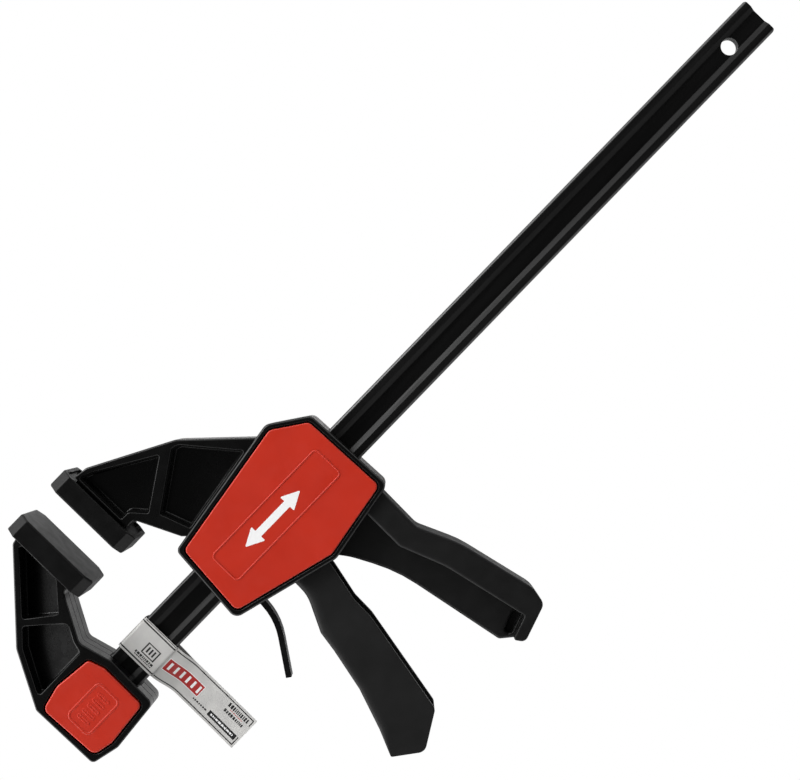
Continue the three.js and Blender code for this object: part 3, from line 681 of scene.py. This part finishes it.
def bar():
    """The rail, with a groove along each face and a hole at each end; its outer faces are painted lighter
    as painted light, and its edges lighter still as a painted highlight.
    """
    edge, face = BAR_HALF, BAR_FACE
    half = [
        (-edge, -face, BAR_EDGE_RADIUS), (-GROOVE_MOUTH, -face, GROOVE_RADIUS),
        (-GROOVE_FLOOR, -BAR_WEB, GROOVE_RADIUS), (GROOVE_FLOOR, -BAR_WEB, GROOVE_RADIUS),
        (GROOVE_MOUTH, -face, GROOVE_RADIUS), (edge, -face, BAR_EDGE_RADIUS),
    ]
    section = [(y + BAR_Y, z, radius) for y, z, radius in doubled(half)]
    rail = along_x(moulding(section, bar_low.x, bar_high.x, top=0.4))
    holes = [pin(x, BAR_Y, BAR_HOLE_RADIUS, *about(0, face, PAST))
             for x in (LATCH_X, bar_high.x - BAR_HOLE_INSET)]
    corners = [end_corner(side) for side in (-1, 1)]
    piece = shaped("bar_rail", [rail], holes + corners)

    def coat(patch):
        """1 on the outer faces, painted light; 2 along the edges, a painted highlight; 0 elsewhere."""
        if abs(patch.center.z) > (face - BAR_LIT_FACE_DEPTH) * MM:
            return 1
        return 2 if abs(patch.center.y - BAR_Y * MM) > (edge - BAR_HIGHLIGHT_EDGE) * MM else 0

    return painted(piece, ("bar_paint", "lit_outer_paint", "highlight_edge_paint"), coat)


def pad(name, node, inwards):
    """A soft cap; inwards is 1 when its clamping face looks along +X."""
    low, high = node_box(node)
    rear, face = (low.x, high.x) if inwards > 0 else (high.x, low.x)
    across, along = high.z, high.y
    octagon = doubled([
        (-along, -across + PAD_CHAMFER_Z, PAD_CORNER), (-along + PAD_CHAMFER_Y, -across, PAD_CORNER),
        (along - PAD_CHAMFER_Y, -across, PAD_CORNER), (along, -across + PAD_CHAMFER_Z, PAD_CORNER),
    ])
    thickness = high.x - low.x
    cap = moulding(octagon, 0, thickness, top=1.3, bottom=0.6)
    inside = shifted(octagon, inset=2.4)
    hollow = mirrored(pocket(inside, floor=-1.8, mouth=0, edge=0.4, fillet=0.4))
    height = (TONGUE_Y[0] - GAP, TONGUE_Y[1] + GAP)
    hole = block(height, about(0, TONGUE_HALF, GAP), (-PAST, TONGUE_LENGTH))
    solids = [mapped(along_x(made), lambda x, y, z: (rear + (face - rear) / thickness * x, y, z))
              for made in (cap, hollow, hole)]
    return shaped(name, solids[:1], solids[1:])


def tongue(start, inwards):
    """The block on a jaw's end that holds its pad."""
    ends = sorted((start - inwards * PAST, start + inwards * (TONGUE_LENGTH - GAP)))
    return block(ends, TONGUE_Y, (-TONGUE_HALF, TONGUE_HALF))


# ------ fixed jaw

button_low, button_high = node_box("push_button")
cover_low, cover_high = node_box("jaw_back_cover")
plate_low, plate_high = node_box("latch_plate")
spring_low, spring_high = node_box("button_spring_upper")
BUTTON_UNDERSIDE = 10.6
BUTTON_FRAME = rectangle((-61, -36.4), (-81.3, -65.6), 3)
BUTTON_BARS = [rectangle(about(x, 0.7), (-77.2, -69.7), 0.65) for x in (-56.3, -52.5, -48.7, -44.9, -41.1)]
LEG_HALF = 5
LEG_FROM_BAR = (13.3, 16.3)
LATCH_BORE = 4.5
SPRING_SIDE = (spring_low.y + spring_high.y) / 2 - BAR_Y
SPRING_X = (spring_low.x + spring_high.x) / 2
SPRING_BORE = 3
JAW_SCREW_X = -61
JAW_SCREW_SIDE = 13.5
JAW_SCREW_BORE = 1.8
FIXED_RIMS = [0.4, 1.1, 1.2, 1.2, 1.2, 1.2, 1.2, 0.8, 1.2, 1.1, 0.4]
PARTING_LINES = (-4.45, 4.45)
PARTING_GROOVE = [(0, -0.45), (0.3, -0.15), (0.3, 0.15), (0, 0.45)]  # depth and height
WEB_START = -29
WEB_HEIGHT = 3
WEB_SLOPE = 0.2


def fixed_web(x, y):
    """Height of the web in the fixed jaw's pockets; it rises towards the throat."""
    return WEB_HEIGHT + WEB_SLOPE * (x - y - WEB_START)


def leg_span(side, margin=0.0):
    """Where one leg of the button stands along Y, with a margin on both sides."""
    near, far = LEG_FROM_BAR
    return sorted((BAR_Y + side * (near - margin), BAR_Y + side * (far + margin)))


def fixed_jaw():
    """The moulding at the bar's end, open for the bar, the button, the latch and their cover."""
    parting = [(depth, line + rise) for line in PARTING_LINES for depth, rise in PARTING_GROOVE]
    body = moulding(FIXED_JAW_OUTLINE, -FIXED_HALF, FIXED_HALF, FIXED_RIMS, bands=parting)
    floor = BUTTON_UNDERSIDE - BUTTON_TRAVEL - GAP
    button_well = shifted(BUTTON_OUTLINE, inset=-0.9)
    cover_well = shifted(BUTTON_OUTLINE, -GAP)
    latch = [(low - GAP, high + GAP) for low, high in zip(plate_low.xy, plate_high.xy)]
    cuts = on_both_faces([
        pocket(FIXED_UPPER_POCKET, fixed_web, FIXED_HALF, edge=[0.8, 0.8, 0.3, 0.3], fillet=1),
        pocket(FIXED_LOWER_POCKET, fixed_web, FIXED_HALF, edge=[0.8] * 3 + [0.3] * 3, fillet=1),
    ])
    cuts += [
        pocket(button_well, floor, FIXED_HALF, edge=0.5, fillet=0.3, draft=0),
        mirrored(pocket(cover_well, -cover_high.z - GAP, FIXED_HALF, edge=0.3, fillet=0.1, draft=0)),
        passage(bar_low.x - GAP, 0),
        block(*latch, (cover_high.z - PAST, button_low.z)),
        pin(LATCH_X, BAR_Y, LATCH_BORE, cover_high.z, 0),
    ]
    leg = about(LATCH_X, LEG_HALF, GAP)
    for side in (-1, 1):
        screw_y = BAR_Y + side * JAW_SCREW_SIDE
        cuts.append(block(leg, leg_span(side, GAP), (button_low.z - GAP, floor + PAST)))
        spring_y = BAR_Y + side * SPRING_SIDE
        cuts.append(pin(SPRING_X, spring_y, SPRING_BORE, spring_low.z - GAP, floor + PAST))
        cuts.append(pin(JAW_SCREW_X, screw_y, JAW_SCREW_BORE, cover_high.z - PAST, high=-6.2))
    return shaped("fixed_jaw_body", [body, tongue(FIXED_JAW_OUTLINE[0][0], 1)], cuts)


def push_button():
    """Red button with a raised frame round a row of raised finger bars, on two legs."""
    top = button_high.z
    cap = moulding(BUTTON_OUTLINE, BUTTON_UNDERSIDE, top, top=0.9, bottom=0.2)
    leg = about(LATCH_X, LEG_HALF)
    legs = [block(leg, leg_span(side), (button_low.z, BUTTON_UNDERSIDE + PAST)) for side in (-1, 1)]
    line = ridge(BUTTON_FRAME, top, width=1.3, height=0.2)
    bars = [ridge(outline, top, width=1, height=0.16) for outline in BUTTON_BARS]
    return shaped("push_button_cap", [cap, *legs, line, *bars])


def screw(name, x, y, face, length):
    """A countersunk screw driven upwards from z = face, with a cross recess."""
    profile = list(SCREW_HEAD)
    tip = length - SCREW_POINT
    for k in range(int((tip - THREAD_START) / THREAD_PITCH)):
        height = THREAD_START + THREAD_PITCH * k
        profile += [(SCREW_ROOT, height - THREAD_HALF), (SCREW_SHANK, height)]
        profile.append((SCREW_ROOT, height + THREAD_HALF))
    profile += [(SCREW_ROOT, tip), (0.4, length), (0, length)]
    solid = lathe(x, y, [(radius, face + height) for radius, height in profile])
    quarter = CROSS_QUARTER
    cross = []
    for _ in range(4):
        cross += quarter
        quarter = [(-b, a) for a, b in quarter]
    rings = [[(x + a * share, y + b * share, face + depth) for a, b in cross]
             for depth, share in CROSS_SHAPE]
    return shaped(name, [solid], [loft(rings)])


def screw_hole(x, y, face):
    """Cutter for a screw's head and shank, upwards from z = face."""
    return lathe(x, y, [(radius, face + height) for radius, height in SCREW_HOLE])


def jaw_back_cover():
    """The cover over the latch, behind the button."""
    plate = moulding(BUTTON_OUTLINE, cover_low.z, cover_high.z, top=0.1, bottom=0.6)
    holes = [screw_hole(JAW_SCREW_X, BAR_Y + side * JAW_SCREW_SIDE, cover_low.z) for side in (-1, 1)]
    return shaped("jaw_back_cover_plate", [plate], holes)


# ------ moving jaw

ARM_RIMS = [0.4, 0.4, 1, 0.8, 0.8, 0.8, 1.2, 1.3, 1.2]
TRIGGER_SLOT = ((73, 116), (-115, -90), about(0, TRIGGER_HALF, 0.6))
BRAKE_SLOT = ((49.5, 64.5), (-115, -90), (-5.1, 5.1))
BRAKE_NOTCH = ((54.5, 59.1), (-57.5, -47), (-9.1, 9.1))
SPRING_SEAT = ((66, 68.4), (-99, -86), (-LEDGE, LEDGE))
EAR_OUTLINE = rectangle(about(PIVOT[0], 6), (PIVOT[1] - 6, -42), 5.9)
EAR_INNER = 12.4
GRIP_WEB_HALF = 4.5
GRIP_RECESS = [(135.2, -207.5, 0.8), (146.2, -203.8, 0.8), (145.3, -199.6, 2), (132.4, -203.8, 2)]
LIP_RIB_LINE = [(135.4, -208.5), (145.4, -205.1)]
LIP_RIB_RADIUS = 0.5
LIP_RIBS = 8
GRIP_TOP = -104  # where the grip's texture, with its colour lightened as painted light, starts

front_low, front_high = node_box("front_cover")
back_low, back_high = node_box("back_cover")
COVER_LINE = rectangle((54, 133.5), (-81, -62), 2.5)
COVER_CORNERS = [5, 3.5, 4, 5.5, 3.5, 3.5]

MARK_MIDDLE = (91, -71.5)
MARK_QUARTER = [(21, 0), (11, 5.2), (11, 2.1)]  # tip, wing and neck of the arrow, from its middle
MARK_CORNER = 0.4
MARK_SUNK = 0.1
MARK_RAISED = 0.06


def cover_outline(inset):
    """Outline inside the housing's lip, with corners rounder than the housing's own."""
    corners = shifted(HOUSING_OUTLINE, inset)
    return [(x, y, radius + COVER_INSET - inset) for (x, y, _), radius in zip(corners, COVER_CORNERS)]


def lip_ribs():
    """Fine upright ribs on the inner side of the lip at the grip's lower end."""
    start, end = (Vector(place) for place in LIP_RIB_LINE)
    places = [start.lerp(end, k / (LIP_RIBS - 1)) for k in range(LIP_RIBS)]
    return [pin(x, y, LIP_RIB_RADIUS, -ARM_HALF + PAST, ARM_HALF - PAST) for x, y in places]


def moving_jaw_shell():
    """Housing, arm and grip, hollow for the mechanism, before their smaller features."""
    housing = moulding(HOUSING_OUTLINE, -HOUSING_HALF, HOUSING_HALF, top=1.5)
    arm = moulding(ARM_OUTLINE, -ARM_HALF, ARM_HALF, ARM_RIMS)
    rib = moulding(GRIP_RIB_OUTLINE, -ARM_HALF, ARM_HALF, GRIP_RIB_RIMS, lean=RIM_LEAN)
    hollow = prism(shifted(HOUSING_OUTLINE, inset=5.5), -HOUSING_HALF, HOUSING_HALF)
    well = pocket(cover_outline(inset=2.5), LEDGE, HOUSING_HALF, edge=0.3, fillet=0.2, draft=0)
    cuts = [hollow, *on_both_faces([well]), block(*TRIGGER_SLOT)]
    return redrawn(carve("moving_jaw_shell", [housing, arm, rib], cuts))


def moving_jaw():
    """Arm, housing and grip in one moulding."""
    solids = [
        moving_jaw_shell(),
        tongue(ARM_OUTLINE[0][0], -1),
        moulding(GRIP_WEB_OUTLINE, -GRIP_WEB_HALF, GRIP_WEB_HALF, top=1.6),
        block(*SPRING_SEAT),
        prism(EAR_OUTLINE, EAR_INNER, LEDGE),
        prism(EAR_OUTLINE, -LEDGE, -EAR_INNER),
        *lip_ribs(),
    ]
    recess = pocket(GRIP_RECESS, floor=0.8, mouth=GRIP_WEB_HALF, edge=[0.3, 0.3, 2, 2], fillet=0.6)
    cuts = []
    for corners in (ARM_UPPER_POCKET, ARM_LOWER_POCKET):
        cutter = pocket(corners, floor=2.5, mouth=ARM_HALF, edge=0.6, fillet=1, ledge=(0.7, 1.6))
        cuts += on_both_faces([cutter])
    cuts += [
        *on_both_faces([recess]),
        passage(low=30, high=160),
        pin(*PIVOT, PIVOT_BORE, -LEDGE - PAST, LEDGE + PAST),
        block(*BRAKE_SLOT),
        block(*BRAKE_NOTCH),
    ]
    piece = shaped("moving_jaw_body", solids, cuts)

    def finish(patch):
        """1, the grip's textured finish with a lighter colour that is painted light, on the grip below the
        housing, and 0 elsewhere.
        """
        reach = max(abs(piece.data.vertices[i].co.z) for i in patch.vertices) / MM
        return int(patch.center.y / MM < GRIP_TOP and reach < ARM_HALF + GAP)

    return painted(piece, ("black_nylon", "grip_texture_lit"), finish)


def front_cover():
    """The red cover in front, with a boss behind it for each screw."""
    inner = LEDGE + GAP
    plate = moulding(cover_outline(COVER_INSET), inner, front_high.z, top=0.7, bottom=0.1)
    bosses = [pin(x, y, COVER_BOSS_RADIUS, front_low.z, inner + PAST) for x, y in COVER_SCREWS]
    bores = [pin(x, y, SCREW_SHANK + GAP, -HOUSING_HALF, high=4) for x, y in COVER_SCREWS]
    line = ridge(COVER_LINE, front_high.z, width=0.9, height=0.3)
    return shaped("front_cover_plate", [plate, *bosses, line], bores)


def back_cover():
    """The red cover behind, with the screws' holes."""
    plate = moulding(cover_outline(COVER_INSET), back_low.z, back_high.z, top=0.1, bottom=0.7)
    line = ridge(COVER_LINE, back_low.z, width=0.9, height=0.3)
    holes = [screw_hole(x, y, back_low.z) for x, y in COVER_SCREWS]
    return shaped("back_cover_plate", [plate, line], holes)


def direction_mark():
    """A plain double arrow printed along the front cover, showing which way the jaw slides."""
    outline = MARK_QUARTER + [(-x, y) for x, y in MARK_QUARTER[::-1]]
    outline += [(x, -y) for x, y in outline[-2:0:-1]]
    corners = [(MARK_MIDDLE[0] + x, MARK_MIDDLE[1] + y, MARK_CORNER) for x, y in outline]
    face = front_high.z
    arrow = moulding(corners, face - MARK_SUNK, face + MARK_RAISED, top=0.03, bottom=0.01)
    piece = shaped("cover_direction_mark", [arrow])
    return painted(piece, ("ink_white",), lambda patch: 0)


# ------ trigger and brake lever


def trigger():
    """The trigger, a channel open towards the grip."""
    body = moulding(TRIGGER_OUTLINE, -TRIGGER_HALF, TRIGGER_HALF, TRIGGER_RIMS, lean=RIM_LEAN)
    channel = prism(TRIGGER_CHANNEL, -CHANNEL_HALF, CHANNEL_HALF)
    bore = pin(*PIVOT, PIVOT_BORE, *about(0, TRIGGER_HALF, PAST))
    return shaped("trigger_lever_body", [body], [channel, bore])


BRAKE_PIVOT = (56.8, -49.5)
BRAKE_TILT = math.radians(4)
BRAKE_THICKNESS = 3.2
BRAKE_HALF = 8.5
BRAKE_TOP = 1.5
BRAKE_STRAIGHT = 61.5
BRAKE_BEND = math.radians(31)
BRAKE_BEND_RADIUS = 37
BRAKE_TAIL = 32.5
BRAKE_WINDOW = (-34, -9.7)
BRAKE_TAIL_HALF = 4.5
BRAKE_SHOULDER = 40
BRAKE_EDGE_RADIUS = 0.5
BRAKE_END_RADIUS = 0.4


def brake_lever():
    """A steel strap with a window for the bar and a narrow tail bent forward below the housing."""
    half = BRAKE_THICKNESS / 2
    tail = Vector((-math.sin(BRAKE_BEND), -math.cos(BRAKE_BEND))) * BRAKE_TAIL
    elbow = Vector((0, -BRAKE_STRAIGHT))
    across = Vector((math.cos(BRAKE_BEND), -math.sin(BRAKE_BEND))) * half
    mitre = half * math.tan(BRAKE_BEND / 2)
    end = elbow + tail
    corners = [
        (half, BRAKE_TOP, BRAKE_EDGE_RADIUS), (-half, BRAKE_TOP, BRAKE_EDGE_RADIUS),
        (-half, elbow.y + mitre, BRAKE_BEND_RADIUS - half),
        (*(end - across), BRAKE_END_RADIUS), (*(end + across), BRAKE_END_RADIUS),
        (half, elbow.y - mitre, BRAKE_BEND_RADIUS + half),
    ]
    blade = moulding(corners, -BRAKE_HALF, BRAKE_HALF, BRAKE_EDGE_RADIUS)
    window = block(about(0, BRAKE_THICKNESS), BRAKE_WINDOW, about(0, BAR_FACE, GAP))
    beside = (-BRAKE_TAIL, BRAKE_THICKNESS)
    below = (-BRAKE_STRAIGHT - BRAKE_TAIL, -BRAKE_SHOULDER)
    shoulders = [
        block(beside, below, (BRAKE_TAIL_HALF, HOUSING_HALF)),
        block(beside, below, (-HOUSING_HALF, -BRAKE_TAIL_HALF)),
    ]
    turn = Matrix.Translation((*BRAKE_PIVOT, 0)) @ Matrix.Rotation(-BRAKE_TILT, 4, "Z")
    solids = [mapped(made, lambda x, y, z: turn @ Vector((x, y, z)))
              for made in (blade, window, *shoulders)]
    return shaped("brake_lever_strap", solids[:1], solids[1:])


# ------ springs


CLOSED_PITCH = 2.1  # of the closed turn at each end, in wire radii


def spring(node, axis, turns, wire, steps=20):
    """A coil spring with closed ends that fills its CAD node's box."""
    low, high = node_box(node)
    centre = (low + high) / 2
    length = high[axis] - low[axis]
    first, second = (i for i in range(3) if i != axis)
    radius = (high[first] - low[first]) / 2 - wire
    total = turns + 1
    open_pitch = (length - 2 * wire - 2 * CLOSED_PITCH * wire) / (total - 2)
    points = []
    for k in range(round(total * steps) + 1):
        turned = k / steps
        closed = min(turned, 1) + max(turned - (total - 1), 0)
        rise = closed * CLOSED_PITCH * wire + (turned - closed) * open_pitch
        point = Vector()
        point[axis] = low[axis] + wire + rise
        point[first] = centre[first] + radius * math.cos(2 * math.pi * turned)
        point[second] = centre[second] + radius * math.sin(2 * math.pi * turned)
        points.append(point)
    return smoothed(new_object(f"{node}_coil", tube(points, wire)))


def put_spring(body, joint, travel, held, node, axis, *coil):
    """Puts a spring in place; joint and travel are not used, and held, its end that stays, 0 or 1, is not
    used.
    """
    piece = dress(spring(node, axis, *coil), "spring_steel", body, node)
    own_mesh(piece)


# ------ tag

TAG_BAND = (-17.5, 3.7)
TAG_FLAG = (-15.8, 4.2)
TAG_END = -142
TAG_THICKNESS = 0.22
TAG_GAP = 0.25
TAG_MEET = 15  # below the bar, where the film's two sides meet
TAG_SETTLE = 17  # below the bar, where the flag hangs straight
TAG_BOW = 1.2
TAG_FOLD = 1  # radius of the film's folds along the bar
TAG_HALF_GAP = 0.05  # from the flag's middle to each side
TAG_ROW = 1.5  # height of a row of faces on the flag
TAG_FINE_ROW = 0.5  # and where the two sides meet
TAG_FOLD_STEPS = 7
INKS = {"black": 1, "red": 2, "white": 3}  # anything else is bare film
PRINT_MARGIN = 1.1
LINE = 0.6  # width of the lines along the tag's edges
LEFT = TAG_FLAG[0] + PRINT_MARGIN
RIGHT = TAG_FLAG[1] - PRINT_MARGIN
LOW = TAG_END + PRINT_MARGIN
WORD_GAP = (0.35, 0.55)
SHORTEST_WORD = 0.5

# Printed blocks: x low, x high, y low, y high and ink; a row of small print also has the length
# of its longest word. Later blocks lie on top.
BAND_PRINT = [
    (-16.4, -15.6, -90, -59, "black"),
    (1.4, 2.2, -90, -59, "black"),
    (3, 3.35, -90, -59, "black"),
    (-11.4, -4.6, -79, -70, "black"),
    (-10.8, -5.2, -78.2, -70.8, "bare"),
    *[(-9.8, -6.2, y, y + 1, "black") for y in (-77, -75, -73)],
    (-13.6, -12.3, -80.5, -67.5, "black", 2.2),
    (-14.6, -14, -80, -68, "black", 1.2),
]
FLAG_PRINT = [
    (LEFT, LEFT + LINE, LOW, -84, "black"),
    (RIGHT - LINE, RIGHT, LOW, -84, "black"),
    (LEFT, LEFT + 5.5, LOW, LOW + LINE, "black"),
    (RIGHT - 4, RIGHT, LOW, LOW + LINE, "black"),
    (-9.4, -2.1, -109.2, -84.4, "white"),
    (-9.1, -2.4, -108.9, -84.7, "red"),
    *[(-7.9, -3.6, -88 - 4 * k, -86.6 - 4 * k, "white") for k in range(6)],
    (-11.4, -10.5, -118, -108, "black", 1.4),
    (-12.3, -9.1, -139.6, -119.5, "black"),
    (-11.2, -10.2, -138.4, -121, "white", 2),
    (-0.9, 1.5, -138.6, -124.5, "black", 1.6),
    (-1.9, -1.4, -136, -127, "red", 1.2),
    (-4.4, -2.7, -138.6, -124.5, "black", 1.4),
]


def ease(share):
    """A smooth step from 0 to 1."""
    share = min(max(share, 0), 1)
    return share * share * (3 - 2 * share)


def printed(draw, layout):
    """The blocks of a layout, with each row of small print split into bars for its words."""
    marks = []
    for left, right, low, high, ink, *longest in layout:
        if not longest:
            marks.append((left, right, low, high, ink))
            continue
        y = high
        while y - SHORTEST_WORD > low:
            length = draw.uniform(SHORTEST_WORD, *longest)
            marks.append((left, right, max(y - length, low), y, ink))
            y -= length + draw.uniform(*WORD_GAP)
    return marks


def film_lines(top, under, marks):
    """The film's cross-section as (y, z) points: up the front, over the bar and down the back."""
    crown = BAR_FACE + TAG_GAP - TAG_FOLD

    def height(y):
        """Height of the film's inner side in front of the bar and below it."""
        if y < under:
            return TAG_HALF_GAP + (crown - TAG_HALF_GAP) * ease((y - under + TAG_MEET) / TAG_MEET)
        reach = max(under + TAG_FOLD - y, y - top + TAG_FOLD, 0)
        return crown + math.sqrt(max(TAG_FOLD * TAG_FOLD - reach * reach, 0))

    rows = {TAG_END, under, top}
    rows |= {TAG_END + TAG_ROW * k for k in range(int((under - TAG_END) / TAG_ROW) + 1)}
    rows |= {under - TAG_FINE_ROW * k for k in range(int(TAG_MEET / TAG_FINE_ROW))}
    for k in range(TAG_FOLD_STEPS + 1):
        reach = TAG_FOLD * math.sin(math.pi / 2 * k / TAG_FOLD_STEPS)
        rows |= {under + TAG_FOLD - reach, top - TAG_FOLD + reach}
    rear = [(y, -height(y)) for y in sorted(rows, reverse=True)]
    rows |= {y for mark in marks for y in mark[2:4]}
    return [(y, height(y)) for y in sorted(rows)], rear


def product_tag():
    """A silver film wrapped over the bar, its ends stuck together below it as a flag."""
    top = BAR_Y + BAR_HALF + TAG_GAP
    under = BAR_Y - BAR_HALF - TAG_GAP
    draw = random.Random(7)
    band = printed(draw, BAND_PRINT)
    flag = printed(draw, FLAG_PRINT)
    front, rear = film_lines(top, under, band + flag)
    line = front + rear
    columns = {0.0, 1.0}
    for marks, (left, right) in ((band, TAG_BAND), (flag, TAG_FLAG)):
        columns |= {(x - left) / (right - left) for mark in marks for x in mark[:2]}
    columns = sorted(columns)

    made = bmesh.new()
    grid = []
    for y, z in line:
        share = ease((under - y) / TAG_SETTLE)
        left, right = (a + (b - a) * share for a, b in zip(TAG_BAND, TAG_FLAG))
        bow = TAG_BOW * max(0.0, (under - TAG_MEET - y) / (under - TAG_MEET - TAG_END)) ** 2
        grid.append([made.verts.new((left + (right - left) * t, y, z + bow)) for t in columns])
    for i, (row, following) in enumerate(zip(grid, grid[1:])):
        y = (line[i][0] + line[i + 1][0]) / 2
        marks, (left, right) = (band, TAG_BAND) if y > under else (flag, TAG_FLAG)
        for j in range(len(columns) - 1):
            patch = made.faces.new((row[j], row[j + 1], following[j + 1], following[j]))
            x = left + (columns[j] + columns[j + 1]) / 2 * (right - left)
            for x0, x1, y0, y1, ink in marks if i < len(front) - 1 else ():
                if x0 < x < x1 and y0 < y < y1:
                    patch.material_index = INKS.get(ink, 0)
    piece = new_object("tag_film_strip", made)
    for slot in ("tag_film", "ink_black", "ink_red", "ink_white"):
        piece.data.materials.append(looks[slot])
    thick = piece.modifiers.new("thickness", "SOLIDIFY")
    thick.thickness = TAG_THICKNESS * MM
    thick.offset = 1
    return smoothed(baked(piece))


# ------ assembly

for piece, slot, body, *nodes in (
    (bar(), "bar_paint", "rail", "bar"),
    (pad("fixed_jaw_pad_cap", "fixed_jaw_pad", 1), "soft_pad", "rail", "fixed_jaw_pad"),
    (fixed_jaw(), "black_nylon", "rail", "fixed_jaw"),
    (jaw_back_cover(), "black_nylon", "rail", "jaw_back_cover"),
    (push_button(), "red_nylon", "release_button", "push_button"),
    (product_tag(), "tag_film", "rail", "product_tag"),
    (pad("moving_jaw_pad_cap", "moving_jaw_pad", -1), "soft_pad", "sliding_jaw", "moving_jaw_pad"),
    (moving_jaw(), "black_nylon", "sliding_jaw", "moving_jaw"),
    (front_cover(), "red_nylon", "sliding_jaw", "front_cover"),
    (back_cover(), "red_nylon", "sliding_jaw", "back_cover"),
    (direction_mark(), "red_nylon", "sliding_jaw"),
    (trigger(), "trigger_nylon", "trigger_lever", "trigger"),
    (brake_lever(), "lever_steel", "brake", "brake_lever"),
):
    dress(piece, slot, body, *nodes)

for i, (x, y) in enumerate(COVER_SCREWS, 1):
    piece = screw(f"cover_screw_{i}_turned", x, y, back_low.z, length=18)
    dress(piece, "plated_steel", "sliding_jaw", f"cover_screw_{i}")
for side, place in ((1, "upper"), (-1, "lower")):
    y = BAR_Y + side * JAW_SCREW_SIDE
    piece = screw(f"jaw_cover_screw_{place}_turned", JAW_SCREW_X, y, cover_low.z, length=7)
    dress(piece, "plated_steel", "rail", f"jaw_cover_screw_{place}")
    put_spring("rail", "button_press", BUTTON_TRAVEL, 0, f"button_spring_{place}", 2, 6, 0.35)
put_spring("sliding_jaw", "drive_plate_advance", DRIVE_TRAVEL, 1, "drive_spring", 0, 7, 0.8, 28)

low, high = node_box("brake_spring")
travel = (BRAKE_PIVOT[1] - (low.y + high.y) / 2) * math.tan(BRAKE_SWING)
put_spring("sliding_jaw", "brake_release", travel, 1, "brake_spring", 0, 3, 0.35)

drive_plates = [f"drive_plate_{i}" for i in (1, 2, 3)]
for name in ("latch_plate", "latch_pin", "trigger_pivot_pin", *drive_plates):
    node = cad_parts[name]
    node.data.materials.clear()
    node.data.materials.append(looks["plated_steel"])
    weld = node.modifiers.new("weld", "WELD")
    weld.merge_threshold = MERGE * MM
    edges = node.modifiers.new("edges", "BEVEL")
    edges.width = 0.25 * MM
    edges.segments = 2
    edges.limit_method = "ANGLE"
    edges.angle_limit = math.radians(40)

# ------ camera, floor and light

FLOOR_BOUNCE = 0.8  # how much light the floor sends back
FLOOR_GLOW = (0.4, 0.1)  # light it adds beside the jaws and the grip
GLOW_SPAN = (0.0, 0.06)  # where along X it changes, in metres
SKY_LIGHT = (3.2, 0.1)  # from the sides and from overhead
SKY_RISE = (0.38, 0.7)  # height of the change, from 0 to 1
SKY_REACH = (-0.8, 0.8)  # where the shares below begin and end
SKY_ALONG_Y = (0.55, 1.45)  # shares towards the grip and the jaw tips
SKY_ALONG_X = (1.15, 0.45)  # shares towards the fixed jaw and the bar's free end

scene = bpy.context.scene
scene.view_settings.view_transform = "Standard"

lens = bpy.data.cameras.new("camera")
lens.lens = 66.24
lens.sensor_width = 36
lens.clip_end = 20
camera = bpy.data.objects.new("camera", lens)
camera.location = (0.1873, -0.0725, 0.8)
camera.rotation_euler = (0, 0, math.radians(-45.92))
scene.collection.objects.link(camera)
scene.camera = camera


def axes_of(tree, kind):
    """The X, Y and Z outputs of a texture coordinate."""
    place = tree.nodes.new("ShaderNodeTexCoord")
    split = tree.nodes.new("ShaderNodeSeparateXYZ")
    tree.links.new(place.outputs[kind], split.inputs["Vector"])
    return split.outputs


def pale_floor():
    """A white floor that shows no shadow itself, but whose bounce light has soft shadows."""
    material = new_material("pale_floor", (FLOOR_BOUNCE,) * 3, 0.9, Specular_IOR_Level=0.0,
                            Emission_Color=(1, 1, 1, 1))
    tree = material.node_tree
    nodes, links = tree.nodes, tree.links
    glow = map_range(tree, axes_of(tree, "Object")["X"], GLOW_SPAN, FLOOR_GLOW, "SMOOTHSTEP")
    feed(material, "Emission Strength", glow)
    white = nodes.new("ShaderNodeEmission")
    path = nodes.new("ShaderNodeLightPath")
    mix = nodes.new("ShaderNodeMixShader")
    links.new(path.outputs["Is Camera Ray"], mix.inputs["Fac"])
    links.new(nodes["Principled BSDF"].outputs["BSDF"], mix.inputs[1])
    links.new(white.outputs["Emission"], mix.inputs[2])
    links.new(mix.outputs["Shader"], nodes["Material Output"].inputs["Surface"])
    return material


def sky():
    """Soft studio surroundings: bright near the horizon and dim overhead."""
    world = bpy.data.worlds.new("studio")
    scene.world = world
    world.use_nodes = True
    tree = world.node_tree
    background = tree.nodes["Background"]
    background.inputs["Color"].default_value = (1, 1, 1, 1)
    axes = axes_of(tree, "Generated")
    strength = map_range(tree, axes["Z"], SKY_RISE, SKY_LIGHT, "SMOOTHSTEP")
    for axis, shares in (("Y", SKY_ALONG_Y), ("X", SKY_ALONG_X)):
        product = tree.nodes.new("ShaderNodeMath")
        product.operation = "MULTIPLY"
        tree.links.new(strength, product.inputs[0])
        share = map_range(tree, axes[axis], SKY_REACH, shares, "SMOOTHSTEP")
        tree.links.new(share, product.inputs[1])
        strength = product.outputs["Value"]
    tree.links.new(strength, background.inputs["Strength"])


def key_light():
    """One large soft lamp beyond the jaw tips."""
    lamp = bpy.data.lights.new("key", "AREA")
    lamp.shape = "DISK"
    lamp.size = 0.6
    lamp.energy = 8
    light = bpy.data.objects.new("key", lamp)
    light.location = (0.1, 1.3, 0.75)
    target = Vector((0.15, -0.08, 0))
    aim = target - light.location
    light.rotation_euler = aim.to_track_quat("-Z", "Y").to_euler()
    scene.collection.objects.link(light)


floor_mesh = bmesh.new()
bmesh.ops.create_grid(floor_mesh, x_segments=1, y_segments=1, size=4 / MM)
floor = new_object("floor", floor_mesh)
floor.location.z = cad_bounds[0].z - 0.0002
floor.data.materials.append(pale_floor())
sky()
key_light()
